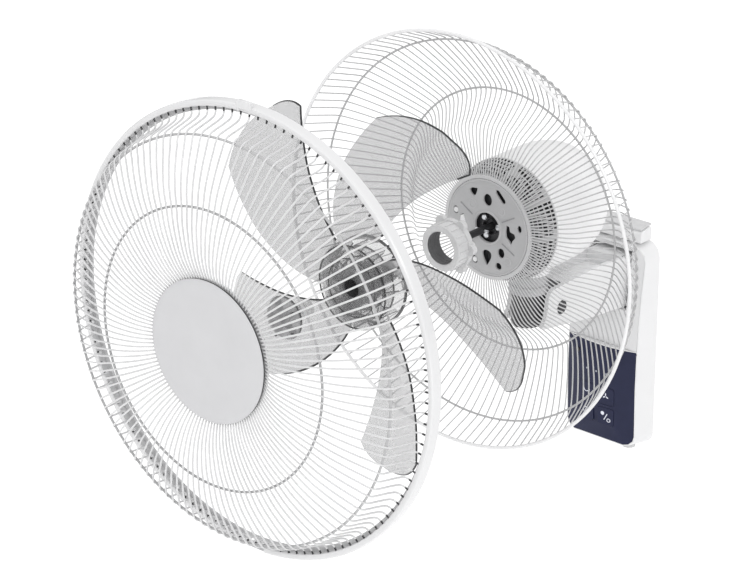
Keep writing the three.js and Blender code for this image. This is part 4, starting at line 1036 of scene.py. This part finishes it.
collar_profile = [(20.6, -56), (22.6, -58.4), (23.0, -64), (22.8, -70), (21.2, -70), (20.4, -60)]
for r, z in collar_profile:
    verts.extend((r * math.cos(TAU * i / n), 125 + r * math.sin(TAU * i / n), z) for i in range(n))
for p in range(len(collar_profile)):
    q = (p + 1) % len(collar_profile)
    faces += [(p * n + i, p * n + (i + 1) % n, q * n + (i + 1) % n, q * n + i) for i in range(n)]
collar.add(verts, faces)
collar.make("neck_collar", cover_pale, "head", (), sharp=35)

# ------------------------------------------------------------------ arm, box and panel
refine("motor_frame", shell_grey, 0.5)
# the tilt knuckle is coloured near-black as painted shade
refine("tilt_knuckle", neck_painted_shade, 0.8)
refine("arm", pale, 1.1, 3)
refine("box_shell", box_white, 1.6, 4)
# front plate in grey: painted shade of the box's white plastic
refine("front_plate", painted_shade_fascia_and_seam_grey, 0.7, 3)
refine("control_panel", navy, 0.5, 3)
refine("top_hanger", pale, 0.8, 3)
for key in ("power_button", "speed_button", "swing_button", "timer_button"):
    refine(key, navy_key, 0.35, 2)

WALL, BULGE, FACE_HALF = 291.0, 8.0, 47.5
PROFILE = [(-318, 27.5), (-290, 28.2), (-241, 29.6), (-192, 28.6), (-158, 26.4), (-127, 23.4), (-109, 20.8), (-91, 18.6), (-75, 17.2)]


def face_y(x, z, inset=0.0):
    return WALL - between(z, PROFILE) - BULGE * (1 - (x / FACE_HALF) ** 2) + inset


def decal(mesh, outline, lift, thick=0.18, mat=0, hole=None):
    """A thin printed mark that follows the panel's curve."""
    if hole is None:
        n = len(outline)
        cx, cz = sum(p[0] for p in outline) / n, sum(p[1] for p in outline) / n
        verts = [(x, face_y(x, z, lift), z) for x, z in outline] + [(cx, face_y(cx, cz, lift), cz)]
        verts += [(x, face_y(x, z, lift + thick), z) for x, z in outline] + [(cx, face_y(cx, cz, lift + thick), cz)]
        faces = [(i, (i + 1) % n, n) for i in range(n)] + [(n + 1 + (i + 1) % n, n + 1 + i, 2 * n + 1) for i in range(n)]
        faces += [(i, n + 1 + i, n + 1 + (i + 1) % n, (i + 1) % n) for i in range(n)]
    else:
        n = len(outline)
        verts = []
        for off in (lift, lift + thick):
            verts += [(x, face_y(x, z, off), z) for x, z in outline] + [(x, face_y(x, z, off), z) for x, z in hole]
        faces = []
        for i in range(n):
            j = (i + 1) % n
            faces += [(i, j, n + j, n + i), (2 * n + i, 3 * n + i, 3 * n + j, 2 * n + j), (i, 2 * n + i, 2 * n + j, j), (n + i, n + j, 3 * n + j, 3 * n + i)]
    mesh.add(verts, faces, mat)


def square(cx, cz, half, r, n=4):
    out = []
    for sx, sz, start in ((1, 1, 0), (-1, 1, 90), (-1, -1, 180), (1, -1, 270)):
        for i in range(n + 1):
            q = math.radians(start + 90 * i / n)
            out.append((cx + sx * (half - r) + r * math.cos(q), cz + sz * (half - r) + r * math.sin(q)))
    return out


KEY = -0.62
power = Mesh()
decal(power, circle(8.2, -280.6, 2.3, 20), KEY)
decal(power, circle(16.2, -288.0, 2.4, 24), KEY, hole=circle(16.2, -288.0, 1.6, 24))
decal(power, bar(12.3, -284.4, 9.2, 1.0, 62), KEY)
power.make("power_mark", ink, "power_key", (), sharp=40)
speed = Mesh()
for k in range(3):
    decal(speed, bar(12 + 2.2 * math.cos(math.radians(90 + 120 * k)), -259 + 2.2 * math.sin(math.radians(90 + 120 * k)), 3.4, 1.4, 90 + 120 * k), KEY)
speed.make("speed_mark", ink, "speed_key", (), sharp=40)
swing = Mesh()
arc = [math.radians(200 + 140 * i / 14) for i in range(15)]
decal_outline = [(-15 + 4.2 * math.cos(q), -256.6 + 4.2 * math.sin(q)) for q in arc] + [(-15 + 3.3 * math.cos(q), -256.6 + 3.3 * math.sin(q)) for q in reversed(arc)]
n = len(decal_outline)
half_n = n // 2
for i in range(half_n - 1):
    quad = [decal_outline[i], decal_outline[i + 1], decal_outline[n - 2 - i], decal_outline[n - 1 - i]]
    decal(swing, quad, KEY)
for sx in (-1, 1):
    decal(swing, [(-15 + sx * 5.4, -257.4), (-15 + sx * 3.6, -255.6), (-15 + sx * 2.8, -258.4)][:: (1 if sx > 0 else -1)], KEY)
swing.make("swing_mark", ink, "swing_key", (), sharp=40)
timer = Mesh()
decal(timer, circle(-15, -284, 4.2, 28), KEY, hole=circle(-15, -284, 3.4, 28))
decal(timer, bar(-15, -282.7, 3.4, 0.8, 90), KEY)
decal(timer, bar(-13.9, -284.2, 2.8, 0.8, 0), KEY)
timer.make("timer_mark", ink, "timer_key", (), sharp=40)
lights = Mesh()
for k in range(3):
    decal(lights, circle(-15 + 13.5 * k, -232, 1.1, 16), -0.45)
lights.make("indicator_marks", finish("indicator_print", (0.35, 0.36, 0.42), rough=0.4, vary=0.05), "wall_unit", (), sharp=40)
